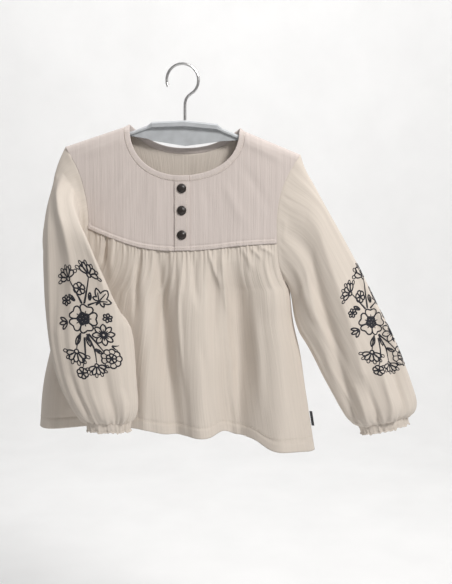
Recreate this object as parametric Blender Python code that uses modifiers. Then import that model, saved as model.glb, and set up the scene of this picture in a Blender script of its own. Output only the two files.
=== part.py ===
"""A child's gathered blouse on a moulded hanger, every cut and sewn piece as its own solid.

Sizes below are in millimetres and are turned into metres when a mesh is made.
X runs to the viewer's right, the front of the blouse faces -Y, and +Z is up.
The origin is the highest point inside the hook, where a rail carries the hanger.
"""
import math

import bpy
import numpy as np
from mathutils import Matrix

MM = 0.001
COLLECTION_NAME = "blouse_on_hanger"

# Cloth
WALL = 1.0
BINDING_WALL = 2.0
BINDING_WIDTH = 7.8
BINDING_EASE_PASSES = 6
CUFF_WALL = 2.0
SEAM_GAP = 0.3
SEAM_INSET = 0.28
SIDE_INSET = 0.45
SLEEVE_SEAM_CLEAR = 0.8
LAID_ON = WALL + SEAM_GAP
CLOTH_SHARP_DEGREES = 50

# Neck and shoulders
NECK_POINT_LEFT = (-71.7, -74.0)
NECK_POINT_RIGHT = (75.7, -79.4)
SHOULDER_LEFT = (-143.0, -97.5)
SHOULDER_RIGHT = (143.0, -107.1)
FRONT_NECK_LOW = (-2.1, -139.1)
BACK_NECK_LOW = (1.8, -105.7)
NECK_CURVE_POWER = 0.93
BACK_NECK_POWER = 2.3

# How round the body's sides are
SIDE_ROUND_POWER = 2.5
SIDE_SOFT_POWER = 4

# Distance of the cloth in front of and behind the hanger, by drop below the shoulder line.
DEPTH_BY_DROP = {
    "drop": (0.0, 1.2, 3.0, 6.0, 12.0, 30.0, 65.0, 105.0, 140.0, 180.0, 240.0, 310.0, 400.0),
    "front": (0.0, 3.9, 6.0, 7.6, 8.9, 11.0, 13.5, 16.5, 20.0, 24.0, 29.0, 33.0, 36.0),
    "back": (0.0, 3.9, 6.0, 7.6, 8.9, 10.5, 12.5, 15.0, 17.5, 20.0, 24.0, 28.0, 32.0),
}

# The armhole, from the shoulder (0) past the yoke corner (YOKE_CORNER) to the underarm (1).
# Fullness is how much of the body's depth the cloth still has at its side edge.
YOKE_CORNER = 0.6
ARMHOLE = {
    "along": (0.0, 0.13, 0.32, 0.60, 0.80, 0.93, 1.0),
    "left_x": (-143.0, -130.0, -120.0, -115.8, -122.0, -134.0, -143.0),
    "left_z": (-97.5, -119.5, -150.0, -196.6, -232.0, -254.0, -262.0),
    "right_x": (143.0, 129.5, 117.5, 114.8, 118.5, 126.0, 131.5),
    "right_z": (-107.1, -128.0, -160.0, -214.3, -246.0, -264.0, -271.3),
    "fullness": (0.95, 0.92, 0.88, 0.78, 0.58, 0.3, 0.0),
}

# The side seams, from the underarm (0) to the hem (1).
SIDE_SEAM = {
    "along": (0.0, 0.2, 0.45, 0.7, 1.0),
    "left_x": (-143.0, -153.0, -167.5, -178.5, -184.5),
    "left_z": (-262.0, -302.0, -347.0, -393.0, -448.0),
    "right_x": (131.5, 136.0, 145.5, 153.0, 165.8),
    "right_z": (-271.3, -311.0, -353.0, -401.0, -479.7),
}

# Heights across the front, by share of the panel's width from the viewer's left.
YOKE_SEAM = {
    "across": (0.0, 0.12, 0.27, 0.45, 0.62, 0.8, 1.0),
    "z": (-196.6, -207.5, -218.5, -223.0, -221.5, -217.0, -214.3),
}
FRONT_HEM = {
    "across": (0.0, 0.12, 0.3, 0.38, 0.46, 0.56, 0.62, 0.665, 0.7, 0.74, 0.78, 0.83, 0.9, 1.0),
    "z": (-448, -446, -443, -443.5, -449.5, -451, -452, -449.5, -455, -456.5, -459, -468.5, -473, -479.7),
}
BACK_HEM = {
    "across": (0.0, 0.2, 0.4, 0.6, 0.8, 1.0),
    "z": (-448.0, -448.0, -453.0, -458.0, -467.0, -479.7),
}

# Share of a panel's length at which its side edge passes the underarm.
UNDERARM_SHARE = 0.25
BACK_UNDERARM_SHARE = 0.48

# The columns of a yoke half: the angle at which each leaves the neck, and where it ends: up to 1 along
# the yoke's seam, from 1 to 2 up the armhole to the shoulder.
YOKE_NECK_DEGREES = (
    0.0, 5.5, 11.0, 17.0, 23.0, 29.0, 35.0, 41.0, 47.0, 54.0, 61.0, 68.0, 74.5, 80.0, 84.0, 87.0, 88.8, 90.0,
)
YOKE_OUTER_SHARES = (
    0.0, 0.13, 0.26, 0.39, 0.52, 0.65, 0.78, 0.9, 1.0, 1.22, 1.42, 1.6, 1.74, 1.85, 1.92, 1.96, 1.985, 2.0,
)

# Rows of the panels, by share of their length, closest where they bend most.
YOKE_ROWS = (0.0, 0.06, 0.2, 0.4, 0.62, 0.82, 0.96, 1.0)
BODY_ROWS = (0.0, 0.03, 0.08, 0.14, 0.2, 0.25, 0.38, 0.52, 0.68, 0.84, 0.97, 1.0)
BACK_ROWS = (
    0.0, 0.0035, 0.0085, 0.017, 0.035, 0.07, 0.11, 0.16, 0.22,
    0.29, 0.36, 0.42, 0.48, 0.6, 0.73, 0.86, 0.97, 1.0,
)
BACK_SHOULDER_SHARES = (0.0, 0.05, 0.17, 0.36, 0.6, 0.82, 1.0)
BACK_NECK_COLUMNS = 9
SIDE_CROWDING = 0.4

# Lengthwise folds of the panels: place and height at the top and at the hem, and half width.
# A positive height stands out from the body.
FRONT_FOLDS = (
    {"top_x": -95, "hem_x": -112, "top": -7, "hem": -17, "half_width": 40},
    {"top_x": -50, "hem_x": -46, "top": 3.5, "hem": 2, "half_width": 11},
    {"top_x": -36, "hem_x": -8, "top": -4.5, "hem": -8, "half_width": 11},
    {"top_x": -7, "hem_x": 6, "top": -2.5, "hem": -1.5, "half_width": 4},
    {"top_x": 14, "hem_x": 22, "top": 4.5, "hem": 13, "half_width": 20},
    {"top_x": 64, "hem_x": 62, "top": -7, "hem": -25, "half_width": 21},
    {"top_x": 45, "hem_x": 66, "top": 3.5, "hem": 3, "half_width": 5},
    {"top_x": 112, "hem_x": 121, "top": 4, "hem": 13, "half_width": 20},
)
BACK_FOLDS = (
    {"top_x": -88, "hem_x": -118, "top": 1, "hem": 10, "half_width": 18},
    {"top_x": -52, "hem_x": -70, "top": -2, "hem": -14, "half_width": 17},
    {"top_x": -22, "hem_x": -18, "top": 1, "hem": 11, "half_width": 20},
    {"top_x": 14, "hem_x": 28, "top": -2, "hem": -15, "half_width": 16},
    {"top_x": 50, "hem_x": 72, "top": 1, "hem": 11, "half_width": 21},
    {"top_x": 88, "hem_x": 118, "top": -1, "hem": -9, "half_width": 14},
)

# Shares of a panel over which its folds and gathers rise from nothing.
FRONT_FOLDS_DOWN = (0.0, 0.35)
FRONT_FOLDS_FROM_SIDES = (0.1, 0.07)
BACK_FOLDS_DOWN = (0.12, 0.6)
BACK_FOLDS_FROM_SIDES = 0.1
GATHERS_FROM_SIDES = 0.04

# Gathers under the front yoke
GATHERS = 22
GATHER_COLUMNS = 4
GATHER_HEIGHT = 1.5
GATHER_FADE = 34.0

# Sleeve sections, from the armhole to the cuff: outer and inner end of each section, how far its
# middle lies in front of the body, its half depth, the height of its front over its back, and how
# far the tube has turned.
SLEEVE_RIGHT = {
    "outer_x": (163.0, 181.0, 203.0, 223.5, 243.0, 258.5, 272.0, 284.0, 291.0, 289.0, 281.0),
    "outer_z": (-149.0, -180.0, -218.0, -257.0, -297.0, -327.0, -357.0, -388.0, -411.0, -424.0, -430.0),
    "inner_x": (134.9, 136.8, 139.6, 144.6, 153.0, 162.5, 172.0, 184.0, 196.5, 207.0, 219.0),
    "inner_z": (-286.0, -302.0, -316.5, -328.5, -340.0, -357.0, -377.0, -400.0, -423.0, -438.0, -444.5),
    "middle_y": (-1.0, -2.0, -4.0, -6.0, -8.0, -10.0, -12.0, -13.0, -14.0, -15.0, -15.0),
    "half_depth": (18.0, 21.0, 23.0, 24.0, 24.0, 24.0, 24.0, 25.0, 26.0, 22.0, 14.0),
    "front_shift": (0.0, 0.0, 0.0, 0.0, 0.0, 0.0, 0.0, 0.0, 0.0, 0.0, 0.0),
    "back_shift": (0.0, 0.0, 0.0, 0.0, 0.0, 0.0, 0.0, 0.0, 0.0, 0.0, 0.0),
    "front_rise": (0.0, 0.0, 0.0, 0.0, 0.0, 0.0, 0.0, 0.0, 0.0, 0.0, 0.0),
    "turn": (0.0, 0.0, 0.0, 0.0, 0.0, 0.0, 0.0, 0.0, 0.0, 0.0, 0.0),
}
SLEEVE_LEFT = {
    "outer_x": (-157.5, -159.8, -162.6, -165.2, -165.5, -162.5, -158.0, -148.0, -135.0, -127.0, -118.5),
    "outer_z": (-137.0, -170.0, -205.0, -245.0, -283.0, -315.0, -350.0, -386.0, -411.0, -422.0, -428.5),
    "inner_x": (-154.1, -131.4, -106.4, -84.0, -67.0, -61.0, -58.0, -56.0, -55.0, -57.5, -63.5),
    "inner_z": (-269.0, -274.0, -282.0, -290.0, -302.0, -325.0, -352.0, -385.0, -406.0, -420.0, -428.5),
    "middle_y": (-4.4, -23.0, -40.7, -41.5, -43.0, -44.0, -46.0, -48.0, -50.0, -50.0, -50.0),
    "half_depth": (19.0, 21.0, 22.0, 21.0, 20.0, 19.0, 19.0, 20.0, 21.0, 19.0, 13.0),
    "front_shift": (34.0, 27.8, 26.0, 20.0, 8.0, 0.0, 0.0, 0.0, 0.0, 0.0, 0.0),
    "back_shift": (-4.0, -25.1, -17.8, -6.0, 0.0, 0.0, 0.0, 0.0, 0.0, 0.0, 0.0),
    "front_rise": (8.0, 22.0, 29.3, 28.0, 14.0, 0.0, 0.0, 0.0, 0.0, 0.0, 0.0),
    "turn": (-8.0, 3.6, 20.6, 31.0, 36.0, 36.0, 36.0, 36.0, 36.0, 36.0, 36.0),
}
# The ring just out of the armhole: its place between the armhole and the first section, and how far
# it stands outward and down, and at the underarm forward.
SLEEVE_HEAD_AT = 0.3
SLEEVE_HEAD_UNDERARM = (0.8, 0.5)
SLEEVE_HEAD = {"left": (8.0, 3.0, 0.6), "right": (4.0, 4.0, 0.0)}
SLEEVE_STATIONS = (0.0, SLEEVE_HEAD_AT, 1.0, 1.5, 2.0, 3.0, 4.0, 5.0, 6.0, 7.0, 8.0, 9.0, 9.6, 10.3, 11.0)

# How far each cuff reaches to the right and down from its sleeve
CUFF_RIGHT_DROP = (2.6, -11.0)
CUFF_LEFT_DROP = (0.5, -11.5)
CUFF_SHRINK = (0.97, 0.03)

# Lengthwise folds of a sleeve: angle around the tube at both ends, from the outer edge over the
# front; the sections between which it runs; its height and its half width in degrees.
SLEEVE_RIGHT_FOLDS = (
    {"start": 0.3, "end": 10.2, "from_angle": 84, "to_angle": 146, "height": -4.5, "half_width": 13},
    {"start": 1.0, "end": 10.0, "from_angle": 58, "to_angle": 112, "height": 3.0, "half_width": 14},
    {"start": 5.0, "end": 10.6, "from_angle": 40, "to_angle": 62, "height": -2.5, "half_width": 8},
    {"start": 1.0, "end": 9.0, "from_angle": 265, "to_angle": 240, "height": -4.0, "half_width": 16},
    {"start": 3.0, "end": 10.5, "from_angle": 310, "to_angle": 300, "height": -3.0, "half_width": 12},
)
SLEEVE_LEFT_FOLDS = (
    {"start": 0.2, "end": 5.5, "from_angle": 100, "to_angle": 128, "height": -6.0, "half_width": 20},
    {"start": 0.2, "end": 5.0, "from_angle": 52, "to_angle": 80, "height": 3.5, "half_width": 14},
    {"start": 1.0, "end": 6.0, "from_angle": 10, "to_angle": 8, "height": -4.0, "half_width": 14},
    {"start": 7.0, "end": 10.6, "from_angle": 70, "to_angle": 76, "height": -3.0, "half_width": 9},
    {"start": 1.0, "end": 9.0, "from_angle": 285, "to_angle": 262, "height": -2.5, "half_width": 18},
)
SLEEVE_COLUMNS = 44
# Evening out of a sleeve's rings near its armhole, strongest up to one section and gone by another.
SLEEVE_EASE = 0.5
SLEEVE_EASE_PASSES = 2
SLEEVE_EASE_FROM = 3.0
SLEEVE_EASE_TO = 6.0
SLEEVE_FOLD_POWER = 0.7
CUFF_PLEAT_HEIGHT = 1.3
CUFF_PLEAT_FADE = 2.3

# Placket, buttons and label
PLACKET_LEFT_X = -10.0
PLACKET_RIGHT_X = 8.0
CENTRE_X = -1.3
BUTTON_HEIGHTS = (-147.4, -174.0, -203.6)
BUTTON_RADIUS = 5.75
BUTTON_HEIGHT = 3.4
BUTTON_DOME_DEGREES = (30, 58, 80)
BUTTON_DOME_BASE = 0.25
BUTTON_RIM_HEIGHT = 0.7
BUTTON_RIM_CHAMFER = 0.5
BUTTON_STEPS = 20
BUTTON_SEAT_CLEAR = 0.1
PLACKET_SEAM_CLEAR = 0.6
NECK_END_GAP = 0.5
NECK_END_DEGREES = 2.0
NECK_DEGREES = (2.0, 9.0, 16.0, 24.0, 32.0, 40.0, 48.0, 56.0, 64.0, 71.0, 77.0, 82.0, 86.5, 90.0)
NECK_BACK_STEPS = 22
PLACKET_COLUMNS = (0.0, 0.33, 0.67, 1.0)
PLACKET_ROWS = (0.0, 0.12, 0.24, 0.4, 0.58, 0.78, 1.0)
BINDING_STEP_X = (-12.0, -5.0)
LABEL_TOP = -430.0
LABEL_SIZE = (3.8, 1.2, 19.0)
LABEL_CLEAR = 0.3

# Hanger
HANGER = (
    {"x": -129.0, "top": -93.8, "bottom": -101.0, "rim_half": 2.4, "rim_height": 3.4},
    {"x": -110.0, "top": -87.4, "bottom": -97.0, "rim_half": 3.6, "rim_height": 3.8},
    {"x": -84.0, "top": -78.8, "bottom": -89.0, "rim_half": 4.3, "rim_height": 4.0},
    {"x": -72.0, "top": -79.0, "bottom": -85.5, "rim_half": 4.5, "rim_height": 4.0},
    {"x": -62.0, "top": -77.6, "bottom": -84.5, "rim_half": 4.6, "rim_height": 4.1},
    {"x": -43.0, "top": -70.6, "bottom": -87.5, "rim_half": 4.8, "rim_height": 4.2},
    {"x": -37.5, "top": -66.4, "bottom": -90.0, "rim_half": 6.6, "rim_height": 6.4},
    {"x": 2.6, "top": -64.6, "bottom": -96.3, "rim_half": 7.4, "rim_height": 6.9},
    {"x": 41.5, "top": -68.8, "bottom": -91.5, "rim_half": 6.6, "rim_height": 6.4},
    {"x": 47.0, "top": -73.4, "bottom": -90.5, "rim_half": 4.8, "rim_height": 4.2},
    {"x": 66.0, "top": -81.6, "bottom": -89.5, "rim_half": 4.6, "rim_height": 4.1},
    {"x": 76.0, "top": -84.0, "bottom": -90.0, "rim_half": 4.5, "rim_height": 4.0},
    {"x": 88.0, "top": -85.2, "bottom": -94.0, "rim_half": 4.3, "rim_height": 4.0},
    {"x": 112.0, "top": -95.2, "bottom": -104.0, "rim_half": 3.6, "rim_height": 3.8},
    {"x": 129.0, "top": -102.2, "bottom": -109.0, "rim_half": 2.4, "rim_height": 3.4},
)
HANGER_WEB_HALF = 1.8
HANGER_RIM_ROUND = {"crown_share": 0.62, "crown_drop": 0.5, "side_drop": 2.2, "under": 0.8}
HANGER_STATIONS = 34
HANGER_SHARP_DEGREES = 35
HANGER_CLEARANCE = WALL / 2 + SEAM_GAP + 0.15
HOOK_WIRE_RADIUS = 1.75
HOOK_INNER_RADIUS = 17.5
HOOK_START_ANGLE = -60
HOOK_END_ANGLE = 204
HOOK_POINTS = 19
HOOK_STEM = ((2.6, -50.0), (2.8, -45.0), (4.0, -40.2), (6.4, -36.6))


def clear_scene():
    """Empty the scene and give back a collection for the pieces."""
    for item in list(bpy.data.objects):
        bpy.data.objects.remove(item, do_unlink=True)
    pieces = bpy.data.collections.new(COLLECTION_NAME)
    bpy.context.scene.collection.children.link(pieces)
    return pieces


def plain_material(name, colour, roughness, metallic=0.0):
    """A Principled material of one colour."""
    material = bpy.data.materials.new(name)
    material.use_nodes = True
    shader = material.node_tree.nodes["Principled BSDF"]
    shader.inputs["Base Color"].default_value = (*colour, 1.0)
    shader.inputs["Roughness"].default_value = roughness
    shader.inputs["Metallic"].default_value = metallic
    return material


def follow(table, key, column, at):
    """Read a table's column as a smooth curve over its key column, which rises or falls."""
    keys = np.asarray(table[key], dtype=float)
    values = np.asarray(table[column], dtype=float)
    if keys[0] > keys[-1]:
        keys = keys[::-1]
        values = values[::-1]
    at = np.clip(np.asarray(at, dtype=float), keys[0], keys[-1])
    slopes = np.gradient(values, keys)
    low = np.clip(np.searchsorted(keys, at, side="right") - 1, 0, len(keys) - 2)
    span = keys[low + 1] - keys[low]
    share = (at - keys[low]) / span
    rise = share * share * (3.0 - 2.0 * share)
    leave = share * (1.0 - share) ** 2
    arrive = share * share * (share - 1.0)
    return (
        values[low] * (1.0 - rise)
        + values[low + 1] * rise
        + span * (slopes[low] * leave + slopes[low + 1] * arrive)
    )


def smooth_step(low, high, at):
    """0 below low, 1 above high, and a soft rise between them."""
    share = np.clip((np.asarray(at, dtype=float) - low) / (high - low), 0.0, 1.0)
    return share * share * (3.0 - 2.0 * share)


def shoulder_line(x):
    """Height of the shoulder line, carried level across the neck."""
    xs = (SHOULDER_LEFT[0], NECK_POINT_LEFT[0], NECK_POINT_RIGHT[0], SHOULDER_RIGHT[0])
    zs = (SHOULDER_LEFT[1], NECK_POINT_LEFT[1], NECK_POINT_RIGHT[1], SHOULDER_RIGHT[1])
    return float(np.interp(x, xs, zs))


def body_depth(face, x, z):
    """Signed depth of the cloth in front of or behind the hanger's plane, before its sides close."""
    drop = max(shoulder_line(x) - z, 0.0)
    sign = -1.0 if face == "front" else 1.0
    return sign * float(np.interp(drop, DEPTH_BY_DROP["drop"], DEPTH_BY_DROP[face]))


# The whole side edge of a panel: the armhole, then the side seam.
SIDE_EDGE = {
    "left_x": ARMHOLE["left_x"] + SIDE_SEAM["left_x"][1:],
    "left_z": ARMHOLE["left_z"] + SIDE_SEAM["left_z"][1:],
    "right_x": ARMHOLE["right_x"] + SIDE_SEAM["right_x"][1:],
    "right_z": ARMHOLE["right_z"] + SIDE_SEAM["right_z"][1:],
    "fullness": ARMHOLE["fullness"] + (0.0,) * (len(SIDE_SEAM["along"]) - 1),
}


def body_point(face, x, z):
    """A point of the body's front or back at x and z, rounded to its side edges."""
    left_x = float(follow(SIDE_EDGE, "left_z", "left_x", z))
    right_x = float(follow(SIDE_EDGE, "right_z", "right_x", z))
    across = min(max((x - left_x) / (right_x - left_x), 0.0), 1.0)
    left_full = float(follow(SIDE_EDGE, "left_z", "fullness", z))
    right_full = float(follow(SIDE_EDGE, "right_z", "fullness", z))
    full = max(left_full + (right_full - left_full) * across, 0.0)
    away = abs(2.0 * across - 1.0)
    upright = max(1.0 - away ** SIDE_ROUND_POWER, 0.0) ** (1.0 / SIDE_ROUND_POWER)
    soft = 1.0 - away ** SIDE_SOFT_POWER
    bump = soft + (upright - soft) * (1.0 - full)
    return np.array([x, body_depth(face, x, z) * (full + (1.0 - full) * bump), z])


def armhole(side, face, along):
    """A point of the armhole's seam line."""
    x = float(follow(ARMHOLE, "along", side + "_x", along))
    z = float(follow(ARMHOLE, "along", side + "_z", along))
    full = max(float(follow(ARMHOLE, "along", "fullness", along)), 0.0)
    return np.array([x, body_depth(face, x, z) * full, z])


def side_seam(side, along):
    """A point of the side seam."""
    x = float(follow(SIDE_SEAM, "along", side + "_x", along))
    z = float(follow(SIDE_SEAM, "along", side + "_z", along))
    return np.array([x, 0.0, z])


def front_neck(side, degrees):
    """The front neckline's x and z: 0 degrees at its lowest point, 90 at the neck point."""
    end = NECK_POINT_LEFT if side == "left" else NECK_POINT_RIGHT
    angle = math.radians(degrees)
    out = math.sin(angle) ** NECK_CURVE_POWER
    up = 1.0 - max(math.cos(angle), 0.0) ** NECK_CURVE_POWER
    x = FRONT_NECK_LOW[0] + (end[0] - FRONT_NECK_LOW[0]) * out
    z = FRONT_NECK_LOW[1] + (end[1] - FRONT_NECK_LOW[1]) * up
    return np.array([x, z])


def back_neck_height(x):
    """Height of the back neckline at x."""
    end = NECK_POINT_LEFT if x < BACK_NECK_LOW[0] else NECK_POINT_RIGHT
    share = min(abs((x - BACK_NECK_LOW[0]) / (end[0] - BACK_NECK_LOW[0])), 1.0)
    return BACK_NECK_LOW[1] + (end[1] - BACK_NECK_LOW[1]) * share ** BACK_NECK_POWER


def fold_height(folds, x, down):
    """How far a panel's folds stand out at x, with down from 0 at the top to 1 at the hem."""
    total = 0.0
    for fold in folds:
        middle = fold["top_x"] + (fold["hem_x"] - fold["top_x"]) * down
        height = fold["top"] + (fold["hem"] - fold["top"]) * down
        total += height * math.exp(-(((x - middle) / fold["half_width"]) ** 2))
    return total


def yoke_seam_height(x):
    """Height of the yoke's seam at x."""
    left_x = float(follow(ARMHOLE, "along", "left_x", YOKE_CORNER))
    right_x = float(follow(ARMHOLE, "along", "right_x", YOKE_CORNER))
    return float(follow(YOKE_SEAM, "across", "z", (x - left_x) / (right_x - left_x)))


def yoke_grid(side):
    """Half of the front yoke: rows run from the neck out to the seam and the armhole."""
    outer_x = float(follow(ARMHOLE, "along", side + "_x", YOKE_CORNER))
    starts = []
    ends = []
    for degrees, share in zip(YOKE_NECK_DEGREES, YOKE_OUTER_SHARES):
        start = front_neck(side, degrees)
        if degrees == 0.0:
            start[0] = CENTRE_X
        starts.append(start)
        if share <= 1.0:
            x = CENTRE_X + (outer_x - CENTRE_X) * share
            ends.append(np.array([x, yoke_seam_height(x)]))
        else:
            corner_to_shoulder = YOKE_CORNER * (2.0 - share)
            point = armhole(side, "front", corner_to_shoulder)
            ends.append(np.array([point[0], point[2]]))
    grid = []
    for out in YOKE_ROWS:
        row = [start + (end - start) * out for start, end in zip(starts, ends)]
        grid.append([body_point("front", x, z) for x, z in row])
    return np.array(grid)


def side_edge(side, face, down, armhole_from, underarm):
    """A panel's side edge: the armhole from a given point on, then the side seam."""
    if down <= underarm:
        return armhole(side, face, armhole_from + (1.0 - armhole_from) * down / underarm)
    return side_seam(side, (down - underarm) / (1.0 - underarm))


def panel_place(left, right, top, hem, ends, across, down):
    """The x and z of a panel's point, between its side edges and from its top to its hem."""
    x = left[0] + (right[0] - left[0]) * across
    z = top + (hem - top) * down
    left_miss = left[2] - (ends[0][0] + (ends[0][1] - ends[0][0]) * down)
    right_miss = right[2] - (ends[1][0] + (ends[1][1] - ends[1][0]) * down)
    return x, z + left_miss * (1.0 - across) ** 3 + right_miss * across ** 3


def gather_wave(across, below):
    """The gathers' height at a share of the width, a distance below the yoke's seam."""
    phase = 2.0 * math.pi * GATHERS * across
    unevenness = 0.72 + 0.28 * math.sin(9.0 * math.pi * across + 0.7)
    reach = GATHER_FADE * (0.7 + 0.5 * abs(math.sin(17.0 * across)))
    return GATHER_HEIGHT * unevenness * math.exp(-below / reach) * math.sin(phase)


def front_body_point(across, down):
    """The gathered lower front: down from the yoke's seam to the hem."""
    left = side_edge("left", "front", down, YOKE_CORNER, UNDERARM_SHARE)
    right = side_edge("right", "front", down, YOKE_CORNER, UNDERARM_SHARE)
    top = float(follow(YOKE_SEAM, "across", "z", across))
    hem = float(follow(FRONT_HEM, "across", "z", across))
    ends = ((YOKE_SEAM["z"][0], FRONT_HEM["z"][0]), (YOKE_SEAM["z"][-1], FRONT_HEM["z"][-1]))
    x, z = panel_place(left, right, top, hem, ends, across, down)
    point = body_point("front", x, z)
    from_left, from_right = FRONT_FOLDS_FROM_SIDES
    inside = smooth_step(0.0, from_left, across) * smooth_step(0.0, from_right, 1.0 - across)
    folds = fold_height(FRONT_FOLDS, x, down) * smooth_step(*FRONT_FOLDS_DOWN, down)
    point[1] -= float(inside * folds)
    inside = smooth_step(0.0, GATHERS_FROM_SIDES, min(across, 1.0 - across))
    point[1] -= float(inside * gather_wave(across, top - z))
    return point


def back_point(across, down):
    """The back in one piece: down from the shoulder seams and the neck to the hem."""
    left = side_edge("left", "back", down, 0.0, BACK_UNDERARM_SHARE)
    right = side_edge("right", "back", down, 0.0, BACK_UNDERARM_SHARE)
    top_x = SHOULDER_LEFT[0] + (SHOULDER_RIGHT[0] - SHOULDER_LEFT[0]) * across
    top = shoulder_line(top_x)
    if NECK_POINT_LEFT[0] < top_x < NECK_POINT_RIGHT[0]:
        top = back_neck_height(top_x)
    hem = float(follow(BACK_HEM, "across", "z", across))
    ends = ((SHOULDER_LEFT[1], BACK_HEM["z"][0]), (SHOULDER_RIGHT[1], BACK_HEM["z"][-1]))
    x, z = panel_place(left, right, top, hem, ends, across, down)
    point = body_point("back", x, z)
    inside = smooth_step(0.0, BACK_FOLDS_FROM_SIDES, min(across, 1.0 - across))
    folds = fold_height(BACK_FOLDS, x, down) * smooth_step(*BACK_FOLDS_DOWN, down)
    point[1] += float(inside * folds)
    return point


def armhole_ring(side, degrees):
    """The armhole as a closed ring: 0 at the shoulder, 90 in front, 180 at the underarm."""
    along = 1.0 - np.abs(1.0 - degrees / 180.0)
    face = "front" if degrees <= 180.0 else "back"
    point = armhole(side, face, along)
    outward = -1.0 if side == "left" else 1.0
    clear = SLEEVE_SEAM_CLEAR + (WALL + SEAM_GAP) * float(smooth_step(YOKE_CORNER, 1.0, along))
    point[0] += outward * clear
    return point


def sleeve_head(side, degrees):
    """A sleeve's second ring: it carries the armhole's ring outward, less so at the underarm."""
    reach, fall, forward = SLEEVE_HEAD[side]
    along = 1.0 - abs(1.0 - degrees / 180.0)
    near_from, held_back = SLEEVE_HEAD_UNDERARM
    near = float(smooth_step(near_from, 1.0, along))
    reach *= 1.0 - held_back * near
    outward = -1.0 if side == "left" else 1.0
    return armhole_ring(side, degrees) + np.array([outward * reach, -forward * near, -fall])


def section_point(table, row, degrees):
    """A point of one of a sleeve's sections."""
    outer = np.array([table["outer_x"][row], 0.0, table["outer_z"][row]])
    inner = np.array([table["inner_x"][row], 0.0, table["inner_z"][row]])
    middle = (outer + inner) / 2.0
    middle[1] = table["middle_y"][row]
    angle = math.radians(degrees + table["turn"][row])
    across = (outer - inner) / 2.0
    forward = math.sin(angle)
    toward_front = np.array([0.0, -table["half_depth"][row], table["front_rise"][row]])
    point = middle + across * math.cos(angle) + toward_front * forward
    point[0] += table["front_shift"][row] * forward * (1.0 + forward) / 2.0
    point[0] += table["back_shift"][row] * abs(forward) * (1.0 - forward) / 2.0
    return point


def sleeve_grid(side, table, folds, stations):
    """Rings of a sleeve from its armhole to its cuff, smooth from section to section."""
    keys = np.concatenate([[0.0, SLEEVE_HEAD_AT], np.arange(1.0, len(table["turn"]) + 1.0)])
    columns = []
    for step in range(SLEEVE_COLUMNS):
        degrees = 360.0 * step / SLEEVE_COLUMNS
        points = [armhole_ring(side, degrees), sleeve_head(side, degrees)]
        points += [section_point(table, row, degrees) for row in range(len(table["turn"]))]
        points = np.array(points)
        column = {"key": keys, "x": points[:, 0], "y": points[:, 1], "z": points[:, 2]}
        columns.append(np.stack([follow(column, "key", axis, stations) for axis in "xyz"], axis=1))
    rings = np.stack(columns, axis=1)
    ease = SLEEVE_EASE * (1.0 - smooth_step(SLEEVE_EASE_FROM, SLEEVE_EASE_TO, stations))[1:-1, None, None]
    for _ in range(SLEEVE_EASE_PASSES):
        beside = np.roll(rings, 1, axis=1)[1:-1] + np.roll(rings, -1, axis=1)[1:-1]
        rings[1:-1] += ease * ((rings[:-2] + rings[2:] + beside) / 4.0 - rings[1:-1])
    middles = rings.mean(axis=1, keepdims=True)
    outward = rings - middles
    outward /= np.linalg.norm(outward, axis=2, keepdims=True)
    degrees = 360.0 * np.arange(SLEEVE_COLUMNS) / SLEEVE_COLUMNS
    last = keys[-1]
    for row, station in enumerate(stations):
        height = np.zeros(SLEEVE_COLUMNS)
        for fold in folds:
            share = (station - fold["start"]) / (fold["end"] - fold["start"])
            if 0.0 < share < 1.0:
                middle = fold["from_angle"] + (fold["to_angle"] - fold["from_angle"]) * share
                away = (degrees - middle + 180.0) % 360.0 - 180.0
                swell = math.sin(math.pi * share) ** SLEEVE_FOLD_POWER
                height += fold["height"] * swell * np.exp(-((away / fold["half_width"]) ** 2))
        pleats = CUFF_PLEAT_HEIGHT * float(smooth_step(last - CUFF_PLEAT_FADE, last, station))
        height += pleats * np.where(np.arange(SLEEVE_COLUMNS) % 2 == 0, 1.0, -1.0)
        rings[row] += outward[row] * height[:, None]
    return rings


def cuff_grid(sleeve, drop):
    """The elastic cuff: it carries the sleeve's last ring on, with flatter pleats."""
    last = sleeve[-1]
    middle = last.mean(axis=0)
    down = np.array([drop[0], 0.0, drop[1]])
    direction = down / np.linalg.norm(down)
    rings = []
    for share in (0.0, 0.5, 1.0):
        shrink = CUFF_SHRINK[0] - CUFF_SHRINK[1] * math.sin(math.pi * share)
        start = direction * (SEAM_GAP + SEAM_INSET)
        rings.append(middle + (last - middle) * shrink + start + (down - start) * share)
    return np.array(rings)


def set_in(grid, top=0.0, bottom=0.0, left=0.0, right=0.0):
    """Draw a grid's edges in along its own surface, to leave room at the seams."""
    grid = grid.copy()
    for amount, edge, neighbour in (
        (top, grid[0], grid[1]),
        (bottom, grid[-1], grid[-2]),
        (left, grid[:, 0], grid[:, 1]),
        (right, grid[:, -1], grid[:, -2]),
    ):
        if amount:
            toward = neighbour - edge
            edge += amount * toward / np.linalg.norm(toward, axis=1, keepdims=True)
    return grid


def surface_object(name, grid, wall, material, collection, closed=False, offset=0.0):
    """A sheet through a grid of points, thickened into a wall."""
    rows, columns = grid.shape[:2]
    around = columns if closed else columns - 1
    faces = []
    for row in range(rows - 1):
        for column in range(around):
            after = (column + 1) % columns
            faces.append((
                row * columns + column,
                (row + 1) * columns + column,
                (row + 1) * columns + after,
                row * columns + after,
            ))
    mesh = bpy.data.meshes.new(name)
    mesh.from_pydata((grid.reshape(-1, 3) * MM).tolist(), [], faces)
    mesh.shade_smooth()
    mesh.set_sharp_from_angle(angle=math.radians(CLOTH_SHARP_DEGREES))
    mesh.materials.append(material)
    piece = bpy.data.objects.new(name, mesh)
    thicken = piece.modifiers.new("wall", "SOLIDIFY")
    thicken.thickness = wall * MM
    thicken.offset = offset
    collection.objects.link(piece)
    return piece


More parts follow.
